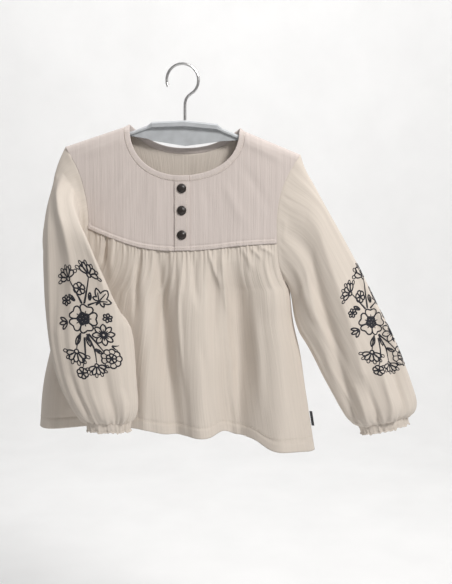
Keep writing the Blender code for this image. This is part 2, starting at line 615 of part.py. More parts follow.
def panel_grid(point_at, across_values, down_values):
    """A grid of points of a panel, row by row."""
    return np.array([[point_at(across, down) for across in across_values] for down in down_values])


def back_columns():
    """Shares of the back's width: close together at the sides, and one at each neck point."""
    width = SHOULDER_RIGHT[0] - SHOULDER_LEFT[0]
    left = (NECK_POINT_LEFT[0] - SHOULDER_LEFT[0]) / width
    right = (NECK_POINT_RIGHT[0] - SHOULDER_LEFT[0]) / width
    shares = np.array(BACK_SHOULDER_SHARES)
    steps = np.linspace(0.0, 1.0, 2 * BACK_NECK_COLUMNS + 1)[1:-1]
    middle = left + (right - left) * (1.0 - np.cos(math.pi * steps)) / 2.0
    return np.concatenate([left * shares, middle, 1.0 - (1.0 - right) * shares[::-1]])


def make_front(collection, cloth):
    """Both halves of the front yoke and the gathered panel under them."""
    edge = SEAM_INSET
    for side in ("left", "right"):
        grid = set_in(yoke_grid(side), top=edge, bottom=edge, left=edge, right=edge)
        surface_object("front_yoke_" + side, grid, WALL, cloth, collection)
    even = np.linspace(0.0, 1.0, GATHERS * GATHER_COLUMNS + 1)
    across = even - SIDE_CROWDING * np.sin(2.0 * math.pi * even) / (2.0 * math.pi)
    body = panel_grid(front_body_point, across, BODY_ROWS)
    body = set_in(body, top=edge, left=SIDE_INSET, right=SIDE_INSET)
    surface_object("front_body", body, WALL, cloth, collection)


def make_back(collection, cloth):
    """The back panel."""
    grid = panel_grid(back_point, back_columns(), BACK_ROWS)
    grid = set_in(grid, top=SEAM_INSET, left=SIDE_INSET, right=SIDE_INSET)
    surface_object("back", grid, WALL, cloth, collection)


def make_sleeves(collection, cloth, cuff_cloth):
    """Both sleeves and their cuffs."""
    for side, table, folds, drop in (
        ("left", SLEEVE_LEFT, SLEEVE_LEFT_FOLDS, CUFF_LEFT_DROP),
        ("right", SLEEVE_RIGHT, SLEEVE_RIGHT_FOLDS, CUFF_RIGHT_DROP),
    ):
        sleeve = sleeve_grid(side, table, folds, np.array(SLEEVE_STATIONS))
        surface_object("sleeve_" + side, sleeve, WALL, cloth, collection, closed=True)
        cuff = cuff_grid(sleeve, drop)
        surface_object("cuff_" + side, cuff, CUFF_WALL, cuff_cloth, collection, closed=True)


def neck_loop():
    """The neck's seam line, from the placket's edge around the back and up to it again."""
    low_share = (PLACKET_RIGHT_X - FRONT_NECK_LOW[0]) / (NECK_POINT_RIGHT[0] - FRONT_NECK_LOW[0])
    start_degrees = math.degrees(math.asin(low_share ** (1.0 / NECK_CURVE_POWER)))
    flat = [front_neck("right", start_degrees)]
    flat += [front_neck("left", degrees) for degrees in NECK_DEGREES]
    points = [body_point("front", x, z) for x, z in flat]
    for step in range(1, NECK_BACK_STEPS):
        share = (1.0 - math.cos(math.pi * step / NECK_BACK_STEPS)) / 2.0
        x = NECK_POINT_LEFT[0] + (NECK_POINT_RIGHT[0] - NECK_POINT_LEFT[0]) * share
        points.append(body_point("back", x, back_neck_height(x)))
    rising = [degrees for degrees in reversed(NECK_DEGREES) if degrees > start_degrees + NECK_END_DEGREES]
    flat = [front_neck("right", degrees) for degrees in rising]
    flat.append(front_neck("right", start_degrees) + np.array([NECK_END_GAP, 0.0]))
    points += [body_point("front", x, z) for x, z in flat]
    return np.array(points)


def make_binding(collection, cloth):
    """The folded strip around the neck, open at the placket's edge."""
    seam = neck_loop()
    along = np.gradient(seam, axis=0)
    centre = np.array([0.0, 0.0, 0.0])
    inward = np.stack([-along[:, 2], np.zeros(len(seam)), along[:, 0]], axis=1)
    inward /= np.linalg.norm(inward, axis=1, keepdims=True)
    inward *= np.sign(np.sum(inward * (centre - seam), axis=1))[:, None]
    inward[0] = inward[-1] = (0.0, 0.0, 1.0)
    for _ in range(BINDING_EASE_PASSES):
        inward[1:-1] = (inward[:-2] + 2.0 * inward[1:-1] + inward[2:]) / 4.0
    inward /= np.linalg.norm(inward, axis=1, keepdims=True)
    over_placket = smooth_step(*BINDING_STEP_X, seam[:, 0])
    over_placket[len(seam) // 2:] = 0.0
    seam[:, 1] -= LAID_ON * over_placket
    start = SEAM_INSET + SEAM_GAP
    grid = np.array([seam + inward * (start + (BINDING_WIDTH - start) * share) for share in (0.0, 0.5, 1.0)])
    surface_object("neck_binding", grid, BINDING_WALL, cloth, collection)


def placket_point(share, down):
    """A point of the placket's strip, moved out from the yoke under it."""
    x = PLACKET_LEFT_X + (PLACKET_RIGHT_X - PLACKET_LEFT_X) * share
    side = "left" if x < FRONT_NECK_LOW[0] else "right"
    end = NECK_POINT_LEFT if side == "left" else NECK_POINT_RIGHT
    out = (x - FRONT_NECK_LOW[0]) / (end[0] - FRONT_NECK_LOW[0])
    degrees = math.degrees(math.asin(out ** (1.0 / NECK_CURVE_POWER)))
    top = front_neck(side, degrees)[1] - SEAM_INSET
    bottom = yoke_seam_height(x) + PLACKET_SEAM_CLEAR
    point = body_point("front", x, top + (bottom - top) * down)
    point[1] -= LAID_ON
    return point


def make_placket(collection, cloth):
    """The strip over the front opening, from the neck's binding to the yoke's seam."""
    grid = panel_grid(placket_point, PLACKET_COLUMNS, PLACKET_ROWS)
    surface_object("placket", grid, WALL, cloth, collection)


def make_buttons(collection, material):
    """Three domed buttons on the placket, turned around their own axes."""
    for number, height in enumerate(BUTTON_HEIGHTS, start=1):
        above = body_point("front", CENTRE_X, height + BUTTON_RADIUS)
        below = body_point("front", CENTRE_X, height - BUTTON_RADIUS)
        lean = math.atan2(above[1] - below[1], above[2] - below[2])
        profile = [(0.0, BUTTON_HEIGHT)]
        for degrees in BUTTON_DOME_DEGREES:
            angle = math.radians(degrees)
            level = BUTTON_DOME_BASE + (1.0 - BUTTON_DOME_BASE) * math.cos(angle)
            profile.append((BUTTON_RADIUS * math.sin(angle), BUTTON_HEIGHT * level))
        profile.append((BUTTON_RADIUS, BUTTON_RIM_HEIGHT))
        profile.append((BUTTON_RADIUS - BUTTON_RIM_CHAMFER, 0.0))
        profile.append((0.0, 0.0))
        name = "button_" + str(number)
        mesh = bpy.data.meshes.new(name)
        edges = [(index, index + 1) for index in range(len(profile) - 1)]
        mesh.from_pydata([(x * MM, 0.0, z * MM) for x, z in profile], edges, [])
        mesh.materials.append(material)
        piece = bpy.data.objects.new(name, mesh)
        turn = piece.modifiers.new("turn", "SCREW")
        turn.steps = BUTTON_STEPS
        turn.render_steps = BUTTON_STEPS
        turn.use_merge_vertices = True
        turn.merge_threshold = 0.00001
        turn.use_smooth_shade = True
        piece.rotation_euler = (math.radians(90) - lean, 0.0, 0.0)
        seat = LAID_ON + WALL / 2 + SEAM_GAP + BUTTON_SEAT_CLEAR
        piece.location = (CENTRE_X * MM, ((above[1] + below[1]) / 2 - seat) * MM, height * MM)
        collection.objects.link(piece)


def make_label(collection, material):
    """A small bare tab that stands out of the side seam."""
    top = float(follow(SIDE_SEAM, "right_z", "right_x", LABEL_TOP))
    low = float(follow(SIDE_SEAM, "right_z", "right_x", LABEL_TOP - LABEL_SIZE[2]))
    lean = math.atan2(low - top, LABEL_SIZE[2])
    bpy.ops.mesh.primitive_cube_add(size=1.0)
    piece = bpy.context.active_object
    piece.name = "side_label"
    piece.data.name = "side_label"
    piece.data.transform(Matrix.Diagonal((LABEL_SIZE[0] * MM, LABEL_SIZE[1] * MM, LABEL_SIZE[2] * MM, 1.0)))
    reach = LABEL_SIZE[0] / 2 + WALL / 2 + SEAM_GAP + LABEL_CLEAR
    middle_x = (top + low) / 2 + reach * math.cos(lean)
    middle_z = LABEL_TOP - LABEL_SIZE[2] / 2 + reach * math.sin(lean)
    piece.location = (middle_x * MM, 0.0, middle_z * MM)
    piece.rotation_euler = (0.0, -lean, 0.0)
    piece.data.materials.append(material)
    for owner in list(piece.users_collection):
        owner.objects.unlink(piece)
    collection.objects.link(piece)


def hanger_value(column, x):
    """A value of the hanger's table at x."""
    return float(np.interp(x, [row["x"] for row in HANGER], [row[column] for row in HANGER]))


def hanger_section(x):
    """The moulded hanger's outline at x: a thin web under a rounded rim."""
    top = hanger_value("top", x) - HANGER_CLEARANCE
    bottom = hanger_value("bottom", x)
    half = hanger_value("rim_half", x)
    rim_low = top - hanger_value("rim_height", x)
    crown = HANGER_RIM_ROUND["crown_share"] * half
    crown_z = top - HANGER_RIM_ROUND["crown_drop"]
    side_z = top - HANGER_RIM_ROUND["side_drop"]
    under_z = rim_low - HANGER_RIM_ROUND["under"]
    front = [(-crown, crown_z), (-half, side_z), (-half, rim_low), (-HANGER_WEB_HALF, under_z)]
    front.append((-HANGER_WEB_HALF, bottom))
    behind = [(-y, z) for y, z in reversed(front)]
    return [(x * MM, y * MM, z * MM) for y, z in [(0.0, top), *front, *behind]]


def make_hanger_body(collection, plastic):
    """The moulded hanger, lofted from shoulder to shoulder, with a wide lip in the middle."""
    keys = [row["x"] for row in HANGER]
    positions = sorted(set(np.linspace(keys[0], keys[-1], HANGER_STATIONS).tolist()) | set(keys))
    sections = [hanger_section(x) for x in positions]
    count = len(sections[0])
    verts = [point for section in sections for point in section]
    faces = [tuple(reversed(range(count)))]
    for station in range(len(sections) - 1):
        low = station * count
        for corner in range(count):
            after = (corner + 1) % count
            faces.append((low + after, low + count + after, low + count + corner, low + corner))
    faces.append(tuple(range(len(verts) - count, len(verts))))
    mesh = bpy.data.meshes.new("hanger_body")
    mesh.from_pydata(verts, [], faces)
    mesh.shade_smooth()
    mesh.set_sharp_from_angle(angle=math.radians(HANGER_SHARP_DEGREES))
    mesh.materials.append(plastic)
    collection.objects.link(bpy.data.objects.new("hanger_body", mesh))


def make_hook(collection, steel):
    """The wire hook: up out of the hanger's lip and round over the rail."""
    stem_x = HOOK_STEM[0][0]
    lip_top = hanger_value("top", stem_x) - HANGER_CLEARANCE
    path = [(stem_x, lip_top + SEAM_GAP), *HOOK_STEM]
    radius = HOOK_INNER_RADIUS + HOOK_WIRE_RADIUS
    centre_z = HOOK_WIRE_RADIUS - radius
    for degrees in np.linspace(HOOK_START_ANGLE, HOOK_END_ANGLE, HOOK_POINTS):
        angle = math.radians(degrees)
        path.append((radius * math.cos(angle), centre_z + radius * math.sin(angle)))
    curve = bpy.data.curves.new("hanger_hook", "CURVE")
    curve.dimensions = "3D"
    curve.bevel_depth = HOOK_WIRE_RADIUS * MM
    curve.bevel_resolution = 2
    curve.use_fill_caps = True
    spline = curve.splines.new("POLY")
    spline.points.add(len(path) - 1)
    for point, (x, z) in zip(spline.points, path):
        point.co = (x * MM, 0.0, z * MM, 1.0)
    spline.use_smooth = True
    curve.materials.append(steel)
    collection.objects.link(bpy.data.objects.new("hanger_hook", curve))


def main():
    collection = clear_scene()
    cloth = plain_material("crinkle_cotton", (0.62, 0.55, 0.47), 0.9)
    trim = plain_material("cotton_trim", (0.60, 0.53, 0.45), 0.9)
    dark = plain_material("dark_cap", (0.02, 0.015, 0.013), 0.35)
    tab = plain_material("tab_ribbon", (0.03, 0.03, 0.035), 0.8)
    plastic = plain_material("pale_plastic", (0.55, 0.56, 0.57), 0.4)
    steel = plain_material("hook_steel", (0.6, 0.6, 0.6), 0.25, 1.0)
    make_front(collection, cloth)
    make_back(collection, cloth)
    make_sleeves(collection, cloth, trim)
    make_binding(collection, trim)
    make_placket(collection, trim)
    make_buttons(collection, dark)
    make_label(collection, tab)
    make_hanger_body(collection, plastic)
    make_hook(collection, steel)


main()
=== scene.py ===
"""A child's gathered cotton blouse on a moulded hanger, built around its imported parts.

Sizes of the blouse are in millimetres and are turned into metres when a mesh is made. Those of the
floor, the lights and the camera are in metres.
"""

import math

import bmesh
import bpy
import numpy as np
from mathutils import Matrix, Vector

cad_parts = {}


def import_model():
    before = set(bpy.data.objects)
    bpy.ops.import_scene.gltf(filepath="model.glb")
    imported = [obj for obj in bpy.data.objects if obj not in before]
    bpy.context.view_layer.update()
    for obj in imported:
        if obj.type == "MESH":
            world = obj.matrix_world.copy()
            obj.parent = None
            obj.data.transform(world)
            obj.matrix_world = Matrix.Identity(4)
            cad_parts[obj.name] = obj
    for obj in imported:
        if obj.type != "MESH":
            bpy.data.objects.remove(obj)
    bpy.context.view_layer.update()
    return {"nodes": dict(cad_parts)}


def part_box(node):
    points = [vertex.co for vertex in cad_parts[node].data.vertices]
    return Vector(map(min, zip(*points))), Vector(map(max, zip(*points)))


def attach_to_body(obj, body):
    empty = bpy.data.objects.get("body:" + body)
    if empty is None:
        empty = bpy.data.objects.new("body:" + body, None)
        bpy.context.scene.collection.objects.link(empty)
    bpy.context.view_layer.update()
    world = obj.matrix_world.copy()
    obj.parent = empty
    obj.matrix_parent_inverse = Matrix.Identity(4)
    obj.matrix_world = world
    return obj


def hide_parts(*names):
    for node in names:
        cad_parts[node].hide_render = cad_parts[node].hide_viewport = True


MM = 0.001
WALL = 0.8

# Neck and shoulders
NECK_POINT_LEFT = (-71.7, -74.0)
NECK_POINT_RIGHT = (75.7, -79.4)
SHOULDER_LEFT = (-143.0, -97.5)
SHOULDER_RIGHT = (143.0, -107.1)
FRONT_NECK_LOW = (-2.1, -139.1)
BACK_NECK_LOW = (1.8, -105.7)
NECK_CURVE_POWER = 0.93
BACK_NECK_POWER = 2.3

SIDE_ROUND_POWER = 2.5
SIDE_SOFT_POWER = 4

DEPTH_BY_DROP = {
    "drop": (0, 1.2, 3, 6, 12, 30, 65, 105, 140, 180, 240, 310, 400),
    "front": (0, 3.9, 6, 7.6, 8.9, 11, 13.5, 16.5, 20, 24, 29, 33, 36),
    "back": (0, 3.9, 6, 7.6, 8.9, 10.5, 12.5, 15, 17.5, 20, 24, 28, 32),
}

YOKE_CORNER = 0.6
ARMHOLE = {
    "along": (0, 0.13, 0.32, 0.6, 0.8, 0.93, 1),
    "left_x": (-143, -130, -120, -115.8, -122, -134, -143),
    "left_z": (-97.5, -119.5, -150, -196.6, -232, -254, -262),
    "right_x": (143, 129.5, 117.5, 114.8, 118.5, 126, 131.5),
    "right_z": (-107.1, -128, -160, -214.3, -246, -264, -271.3),
    "fullness": (0.95, 0.92, 0.88, 0.78, 0.58, 0.3, 0),
}
SIDE_SEAM = {
    "along": (0, 0.2, 0.45, 0.7, 1),
    "left_x": (-143, -153, -167.5, -178.5, -184.5),
    "left_z": (-262, -302, -347, -393, -448),
    "right_x": (131.5, 136, 145.5, 153, 165.8),
    "right_z": (-271.3, -311, -353, -401, -479.7),
}
YOKE_SEAM = {
    "across": (0, 0.12, 0.27, 0.45, 0.62, 0.8, 1),
    "z": (-196.6, -207.5, -218.5, -223, -221.5, -217, -214.3),
}
FRONT_HEM = {
    "across": (0, 0.12, 0.3, 0.38, 0.46, 0.56, 0.62, 0.665, 0.7, 0.74, 0.78, 0.83, 0.9, 1),
    "z": (-448, -446, -443, -443.5, -449.5, -451, -452, -449.5, -455, -456.5, -459, -468.5, -473, -479.7),
}
BACK_HEM = {
    "across": (0, 0.2, 0.4, 0.6, 0.8, 1),
    "z": (-448, -448, -453, -458, -467, -479.7),
}
SIDE_CLOSING = 0.035
SIDE_CLOSING_FROM = 6.0
UNDERARM_SHARE = 0.25
BACK_UNDERARM_SHARE = 0.48

YOKE_NECK_DEGREES = (0, 5.5, 11, 17, 23, 29, 35, 41, 47, 54, 61, 68, 74.5, 80, 84, 87, 88.8, 90)
YOKE_OUTER_SHARES = (
    0, 0.13, 0.26, 0.39, 0.52, 0.65, 0.78, 0.9, 1, 1.22, 1.42, 1.6, 1.74, 1.85, 1.92, 1.96, 1.985, 2,
)
CENTRE_X = -1.3
SIDES = ("left", "right")
# The way out of the body: along X for a side, along Y for a face.
OUTWARD = {"left": -1.0, "right": 1.0, "front": -1.0, "back": 1.0}

# A panel's broad folds: their X at the top and at the hem, how far they stand out there, half width.
FRONT_FOLDS = (
    (-95, -112, -7, -17, 40),
    (-50, -46, 3.5, 2, 11),
    (-36, -8, -4.5, -8, 11),
    (-7, 6, -2.5, -1.5, 4),
    (14, 22, 4.5, 13, 20),
    (64, 62, -7, -25, 21),
    (45, 66, 3.5, 3, 5),
    (112, 121, 4, 13, 20),
)
BACK_FOLDS = (
    (-88, -118, 1, 10, 18),
    (-52, -70, -2, -14, 17),
    (-22, -18, 1, 11, 20),
    (14, 28, -2, -15, 16),
    (50, 72, 1, 11, 21),
    (88, 118, -1, -9, 14),
)
FRONT_FOLDS_DOWN = (0.0, 0.35)
FRONT_FOLDS_FROM_SIDES = (0.1, 0.07)
BACK_FOLDS_DOWN = (0.12, 0.6)
BACK_FOLDS_FROM_SIDES = 0.1
NEAR_SIDE = 0.04
HEM_WIDTH = 350.0
HEM_SEEDS = {"front": 3, "back": 4}

# Gathers of a panel: the length they are counted over, how many, seed, height, spread and reach.
FRONT_GATHERS = (232.0, 54, 5, 3.8, 1.3, 30.0)
FRONT_RIPPLES = (300.0, 21, 8, 4.2, 4.0, 190.0)
FRONT_RIPPLES_BELOW = 8.0
BACK_RIPPLES = (300.0, 15, 21, 2.0, 6.0, 260.0)
BACK_RIPPLES_FROM_Z = -130.0

# Gathers around a sleeve or a cuff: how many, seed step, height, spread in degrees and reach.
SLEEVE_PLEATS = (30, 0, 4.6, 3.4, 36.0)
SLEEVE_HEAD_GATHERS = (26, 1, 1.2, 4.0, 26.0)
SLEEVE_RIPPLES = (17, 2, 2.2, 6.5, 90.0)
SLEEVE_SEEDS = {"left": 31, "right": 47}
# Where a sleeve's ripples start, and about how long its sections are near its cuff and its head.
SLEEVE_RIPPLES_AT = 6.0
CUFF_SECTION = 12.0
HEAD_SECTION = 22.0
CUFF_PLEATS = (27, 0, 2.6, 3.6, 30.0)
CUFF_PUCKERS = (41, 1, 1.2, 2.4, 30.0)
CUFF_SEEDS = {"left": 61, "right": 73}
CUFF_SEAM_AT = 0.8

# Places on the cut, far enough apart that no two pieces share a stretch of the crinkle.
FRONT_CUT_WIDTH = 430.0
BACK_CUT = (370.0, 90.0)
YOKE_CUT = (200.0, 180.0)
SLEEVE_CUT = {"left": 400.0, "right": 700.0}
SLEEVE_CUT_RADIUS = 38.0
CUFF_CUT = {"left": 1000.0, "right": 1200.0}
CUFF_CUT_RADIUS = 30.0
CUFF_DEPTH = 12.0
BINDING_CUT = 1400.0
PLACKET_CUT = 1600.0
TAB_CUT = 2000.0

# Creases listed one by one: a path in X and Z, how far the crease stands out, and how far it spreads
# to the viewer's left and right of its path. A crest has a sharper top.
CREST = True
FRONT_CREASES = (
    (((-93, -205), (-96, -222), (-99, -246)), -3, 3, 4),
    (((-86, -207), (-88, -230), (-90, -262)), 2.4, 5, 4),
    (((-53, -218), (-57, -252), (-60, -318)), -4, 3, 5),
    (((-33, -222), (-28, -262), (-26, -330)), -2.4, 5, 5),
    (((-3, -224), (-5, -270), (-4, -319), (1, -375), (8, -420)), 5, 3.2, 8, CREST),
    (((12, -223), (14, -260), (20, -300)), -2.6, 4, 5),
    (((31, -222), (38, -246), (48, -272)), 3.6, 4, 4, CREST),
    (((47, -220), (50, -264), (55, -301), (60, -312), (68, -315)), 5.4, 3, 3.4, CREST),
    (((91, -217), (104, -223), (115, -232)), 2.6, 3, 3, CREST),
    (((80, -218), (91, -227), (98, -237)), 2.4, 3, 3, CREST),
    (((72, -219), (80, -234), (84, -252)), 2.4, 3, 4),
    (((62, -340), (58, -380), (54, -430)), 3.4, 6, 8),
    (((88, -290), (93, -350), (97, -440)), 3.2, 7, 6),
    (((131, -300), (139, -360), (150, -440)), -3.4, 5, 6),
    (((-124, -330), (-132, -380), (-140, -440)), 2.5, 9, 8),
    (((-92, -340), (-96, -390), (-98, -440)), -2, 7, 7),
    (((-66, -330), (-70, -380), (-72, -436)), 2, 7, 7),
    (((22, -330), (28, -380), (33, -440)), -1.6, 4, 6),
    (((-22, -226), (-25, -290), (-22, -360), (-12, -436)), -7.5, 11, 9),
    (((60, -236), (68, -300), (72, -360), (74, -440)), -9, 17, 19),
    (((34, -236), (37, -300), (42, -370)), -4.5, 6, 7),
)
BACK_CREASES = (
    (((-60, -130), (-66, -190), (-78, -260)), 2, 7, 6),
    (((-28, -125), (-30, -200), (-36, -300)), -1.6, 6, 7),
    (((8, -118), (6, -190), (0, -280)), 1.8, 8, 6),
    (((40, -122), (46, -200), (54, -310)), -1.8, 6, 7),
    (((70, -128), (80, -190), (92, -270)), 2, 6, 8),
    (((-100, -200), (-112, -270), (-128, -360)), 2.2, 7, 6, CREST),
    (((-45, -280), (-52, -350), (-58, -430)), 2.6, 6, 5, CREST),
    (((24, -290), (40, -360), (48, -440)), 2.4, 5, 7, CREST),
    (((96, -220), (104, -290), (118, -380)), -2.4, 7, 6),
)
YOKE_CREASES = (
    (((-66, -84), (-96, -97), (-128, -110)), 1.3, 5, 8),
    (((68, -88), (98, -102), (128, -118)), 1.3, 5, 8),
    (((-64, -118), (-82, -150), (-104, -178)), 0.9, 6, 5),
    (((-48, -138), (-56, -168), (-62, -200)), -0.7, 6, 6),
    (((-28, -146), (-32, -178), (-33, -210)), 0.7, 6, 6),
    (((28, -146), (32, -176), (30, -208)), -0.7, 5, 7),
    (((50, -140), (62, -166), (80, -200)), 0.9, 6, 6),
    (((72, -120), (92, -150), (110, -185)), -0.8, 6, 6),
)

SLEEVE_RIGHT = {
    "outer_x": (163, 181, 203, 223.5, 243, 258.5, 272, 284, 291, 289, 281),
    "outer_z": (-149, -180, -218, -257, -297, -327, -357, -388, -411, -424, -430),
    "inner_x": (134.9, 136.8, 139.6, 144.6, 153, 162.5, 172, 184, 196.5, 207, 219),
    "inner_z": (-286, -302, -316.5, -328.5, -340, -357, -377, -400, -423, -438, -444.5),
    "middle_y": (-1, -2, -4, -6, -8, -10, -12, -13, -14, -15, -15),
    "half_depth": (18, 21, 23, 24, 24, 24, 24, 25, 26, 22, 14),
    **dict.fromkeys(("front_shift", "back_shift", "front_rise", "turn"), (0,) * 11),
}
SLEEVE_LEFT = {
    "outer_x": (-157.5, -159.8, -162.6, -165.2, -165.5, -162.5, -158, -148, -135, -127, -118.5),
    "outer_z": (-137, -170, -205, -245, -283, -315, -350, -386, -411, -422, -428.5),
    "inner_x": (-154.1, -131.4, -106.4, -84, -67, -61, -58, -56, -55, -57.5, -63.5),
    "inner_z": (-269, -274, -282, -290, -302, -325, -352, -385, -406, -420, -428.5),
    "middle_y": (-4.4, -23, -40.7, -41.5, -43, -44, -46, -48, -50, -50, -50),
    "half_depth": (19, 21, 22, 21, 20, 19, 19, 20, 21, 19, 13),
    "front_shift": (34, 27.8, 26, 20, 8, 0, 0, 0, 0, 0, 0),
    "back_shift": (-4, -25.1, -17.8, -6, 0, 0, 0, 0, 0, 0, 0),
    "front_rise": (8, 22, 29.3, 28, 14, 0, 0, 0, 0, 0, 0),
    "turn": (-8, 3.6, 20.6, 31, 36, 36, 36, 36, 36, 36, 36),
}
LAST_SECTION = len(SLEEVE_LEFT["turn"])
SLEEVE_HEAD_AT = 0.3
SLEEVE_HEAD_UNDERARM = (0.8, 0.5)
SLEEVE_HEAD = {"left": (8.0, 3.0, 0.6), "right": (4.0, 4.0, 0.0)}
SLEEVE_STATIONS = (0.0, SLEEVE_HEAD_AT, 1.0, 1.5, 2.0, 3.0, 4.0, 5.0, 6.0, 7.0, 8.0, 9.0, 9.6, 10.3, 11.0)
SLEEVE_COLUMNS = 44
SLEEVE_CROWD = 0.25
SLEEVE_EASE = 0.5
SLEEVE_EASE_PASSES = 2
SLEEVE_EASE_FROM = 3.0
SLEEVE_EASE_TO = 6.0
SLEEVE_SEAM_CLEAR = 0.3
UNDERARM_CLEAR = 1.3
# Edges tucked under a seam: how far a sleeve's goes along X, along Y and on its cut, and how far
# the front's goes up and inward.
SLEEVE_TUCK = (1.8, 1.1, 2.0)
FRONT_TUCK = (1.6, 1.0)
CUFF_WALL = 1.2
PLACKET_WALL = 1.0
CUFF_RIGHT_DROP = (2.6, -11.0)
CUFF_LEFT_DROP = (0.5, -11.5)

# Folds of a sleeve: where they start and end between its sections, their angle at either end,
# counted from its outer edge over the front, how far they bow, their height, and half their width
# to either side.
SLEEVE_RIGHT_FOLDS = (
    (0.3, 10.2, 84, 146, 0, -9, 13, 11),
    (1, 10, 58, 112, 0, 4.6, 14, 9, CREST),
    (5, 10.8, 40, 62, 0, -4, 8, 8),
    (6.5, 11, 66, 84, 0, 4.2, 6, 5, CREST),
    (7.2, 11, 96, 104, 0, -4.4, 6, 6),
    (7.6, 11, 112, 122, 0, 4, 5, 6, CREST),
    (0.2, 7.5, 98, 128, 4, 3.2, 6, 6, CREST),
    (3, 9, 20, 24, 4, 1.8, 8, 8),
    (0.2, 4, 112, 120, 5, 2.2, 9, 8),
    (6, 10.9, 138, 128, 3, 2.5, 8, 7, CREST),
    (1, 9, 265, 240, 0, -4.5, 16, 14),
    (3, 10.5, 310, 300, 0, -3.5, 12, 12),
    (2, 10, 286, 270, 4, 3, 11, 8, CREST),
    (5.5, 11, 214, 222, 0, 2.4, 9, 8),
)
SLEEVE_LEFT_FOLDS = (
    (0.2, 5.5, 100, 128, 0, -8, 18, 18),
    (0.2, 5, 52, 80, 0, 4.5, 14, 9, CREST),
    (1, 6, 10, 8, 0, -4.5, 13, 13),
    (0.6, 5, 28, 30, 0, 2.6, 8, 8, CREST),
    (6.6, 10.9, 70, 76, 0, -3.4, 8, 7),
    (6.8, 11, 44, 50, 0, 2.6, 7, 9, CREST),
    (7.4, 11, 20, 26, 3, -2.6, 8, 7),
    (8, 11, 96, 92, 0, 2.4, 7, 6, CREST),
    (8.4, 11, 112, 108, 0, -2.4, 6, 6),
    (1, 9, 285, 262, 0, -3, 18, 16),
    (3, 10, 310, 296, 3, 2.6, 10, 8, CREST),
    (5, 11, 232, 240, 0, 2.4, 9, 8),
)

# How finely each piece is meshed: across and down, or around and along.
FRONT_GRID = (320, 130)
BACK_GRID = (220, 112)
YOKE_GRID = (124, 60)
SLEEVE_GRID = (192, 140)
CUFF_ROWS = 14
BINDING_STEPS = 260
PLACKET_GRID = (26, 90)

BINDING_WIDTH = 7.4
BINDING_HALF = 0.95
PLACKET_LEFT_X = -10.0
PLACKET_RIGHT_X = 8.0
BUTTON_HEIGHTS = (-147.4, -174.0, -203.6)
BUTTON_RADIUS = 5.75
BUTTON_SEAT = 2.15
BUTTON_STEPS = 48
BUTTON_OUTLINE = (
    (0.0, 3.4), (1.2, 3.33), (2.4, 3.08), (3.4, 2.7), (4.2, 2.2), (4.7, 1.75), (4.95, 1.62),
    (5.3, 1.62), (5.6, 1.4), (5.75, 1.0), (5.7, 0.5), (5.4, 0.15), (4.9, 0.0), (0.0, 0.0),
)
LABEL_SIZE = (3.8, 1.2, 19.0)
LABEL_FOLD = 0.86
LABEL_WALL = 0.3
HEM_BAND = 13.0
YOKE_BAND = 4.6
YOKE_STITCH_HEIGHT = 3.9
PLACKET_STITCH_SHARES = (0.09, 0.8)
PLACKET_FOOT = 3.2
BINDING_STITCH_IN = 1.5
STITCH_LENGTH = 2.1
STITCH_GAP = 1.0
STITCH_HALF = 0.3
STITCH_RISE = 0.28
TUBE_SIDES = 6

# The spray on each sleeve: where its middle lies, how it leans, and which way its U runs.
EMBROIDERY = {
    "left": {"station": 5.45, "angle": 53.0, "lean": -7.0, "across": 1.0},
    "right": {"station": 5.15, "angle": 42.0, "lean": 6.0, "across": -1.0},
}
LINE = 0.94
FINE_LINE = 0.62
THREAD_STEP = 0.8
THREAD_RISE = 0.42
THREAD_END = 0.6

CLOTH_COLOUR = (0.65, 0.585, 0.52)
YOKE_COLOUR = (0.615, 0.547, 0.515)
THREAD_COLOUR = (0.62, 0.56, 0.48)
DARK_THREAD = (0.012, 0.013, 0.02)
BUTTON_COLOUR = (0.022, 0.016, 0.014)
RIBBON_COLOUR = (0.03, 0.03, 0.036)
HANGER_COLOUR = (0.47, 0.49, 0.51)
STEEL_COLOUR = (0.62, 0.62, 0.62)
FLOOR_Z = -1.0
SWEEP_Y = 1.6
SWEEP_RADIUS = 0.7
STUDIO_SIZE = 6.0

BLOUSE_MIDDLE = (0.05, 0.0, -0.27)
# Each light: its size, place, what it is aimed at, its power in watts and its colour.
LIGHTS = {
    "key": ((0.45, 0.45), (0.95, -1.2, 0.95), BLOUSE_MIDDLE, 29.0, (1.0, 0.985, 0.965)),
    "fill": ((1.2, 1.2), (-0.9, -1.9, 0.3), BLOUSE_MIDDLE, 2.0, (1.0, 0.97, 0.93)),
    "backdrop_light": ((3.0, 1.6), (0.05, 0.45, 1.4), (0.05, 1.9, -0.27), 38.0, (1.0, 1.0, 1.0)),
}
WORLD_COLOUR = (1.0, 0.98, 0.96, 1.0)
WORLD_STRENGTH = 0.22
CAMERA_TARGET = (0.0525, 0.0, -0.276375)
CAMERA_DISTANCE = 1.1
CAMERA_PITCH = 8.0
SENSOR = 36.0
FOCAL_PIXELS = 880.0
PHOTO_HEIGHT = 584.0
LENS = FOCAL_PIXELS / PHOTO_HEIGHT * SENSOR


def curve_at(keys, values, at):
    """Values, or whole rows of them, on a smooth curve over rising keys."""
    slopes = np.gradient(values, keys, axis=0)
    low = np.clip(np.searchsorted(keys, at, side="right") - 1, 0, len(keys) - 2)
    shape = np.shape(at) + (1,) * (values.ndim - 1)
    span = np.reshape(keys[low + 1] - keys[low], shape)
    share = np.reshape(at - keys[low], shape) / span
    rise = share * share * (3.0 - 2.0 * share)
    leave = share * (1.0 - share) ** 2
    arrive = share * share * (share - 1.0)
    curved = span * (slopes[low] * leave + slopes[low + 1] * arrive)
    return values[low] * (1.0 - rise) + values[low + 1] * rise + curved


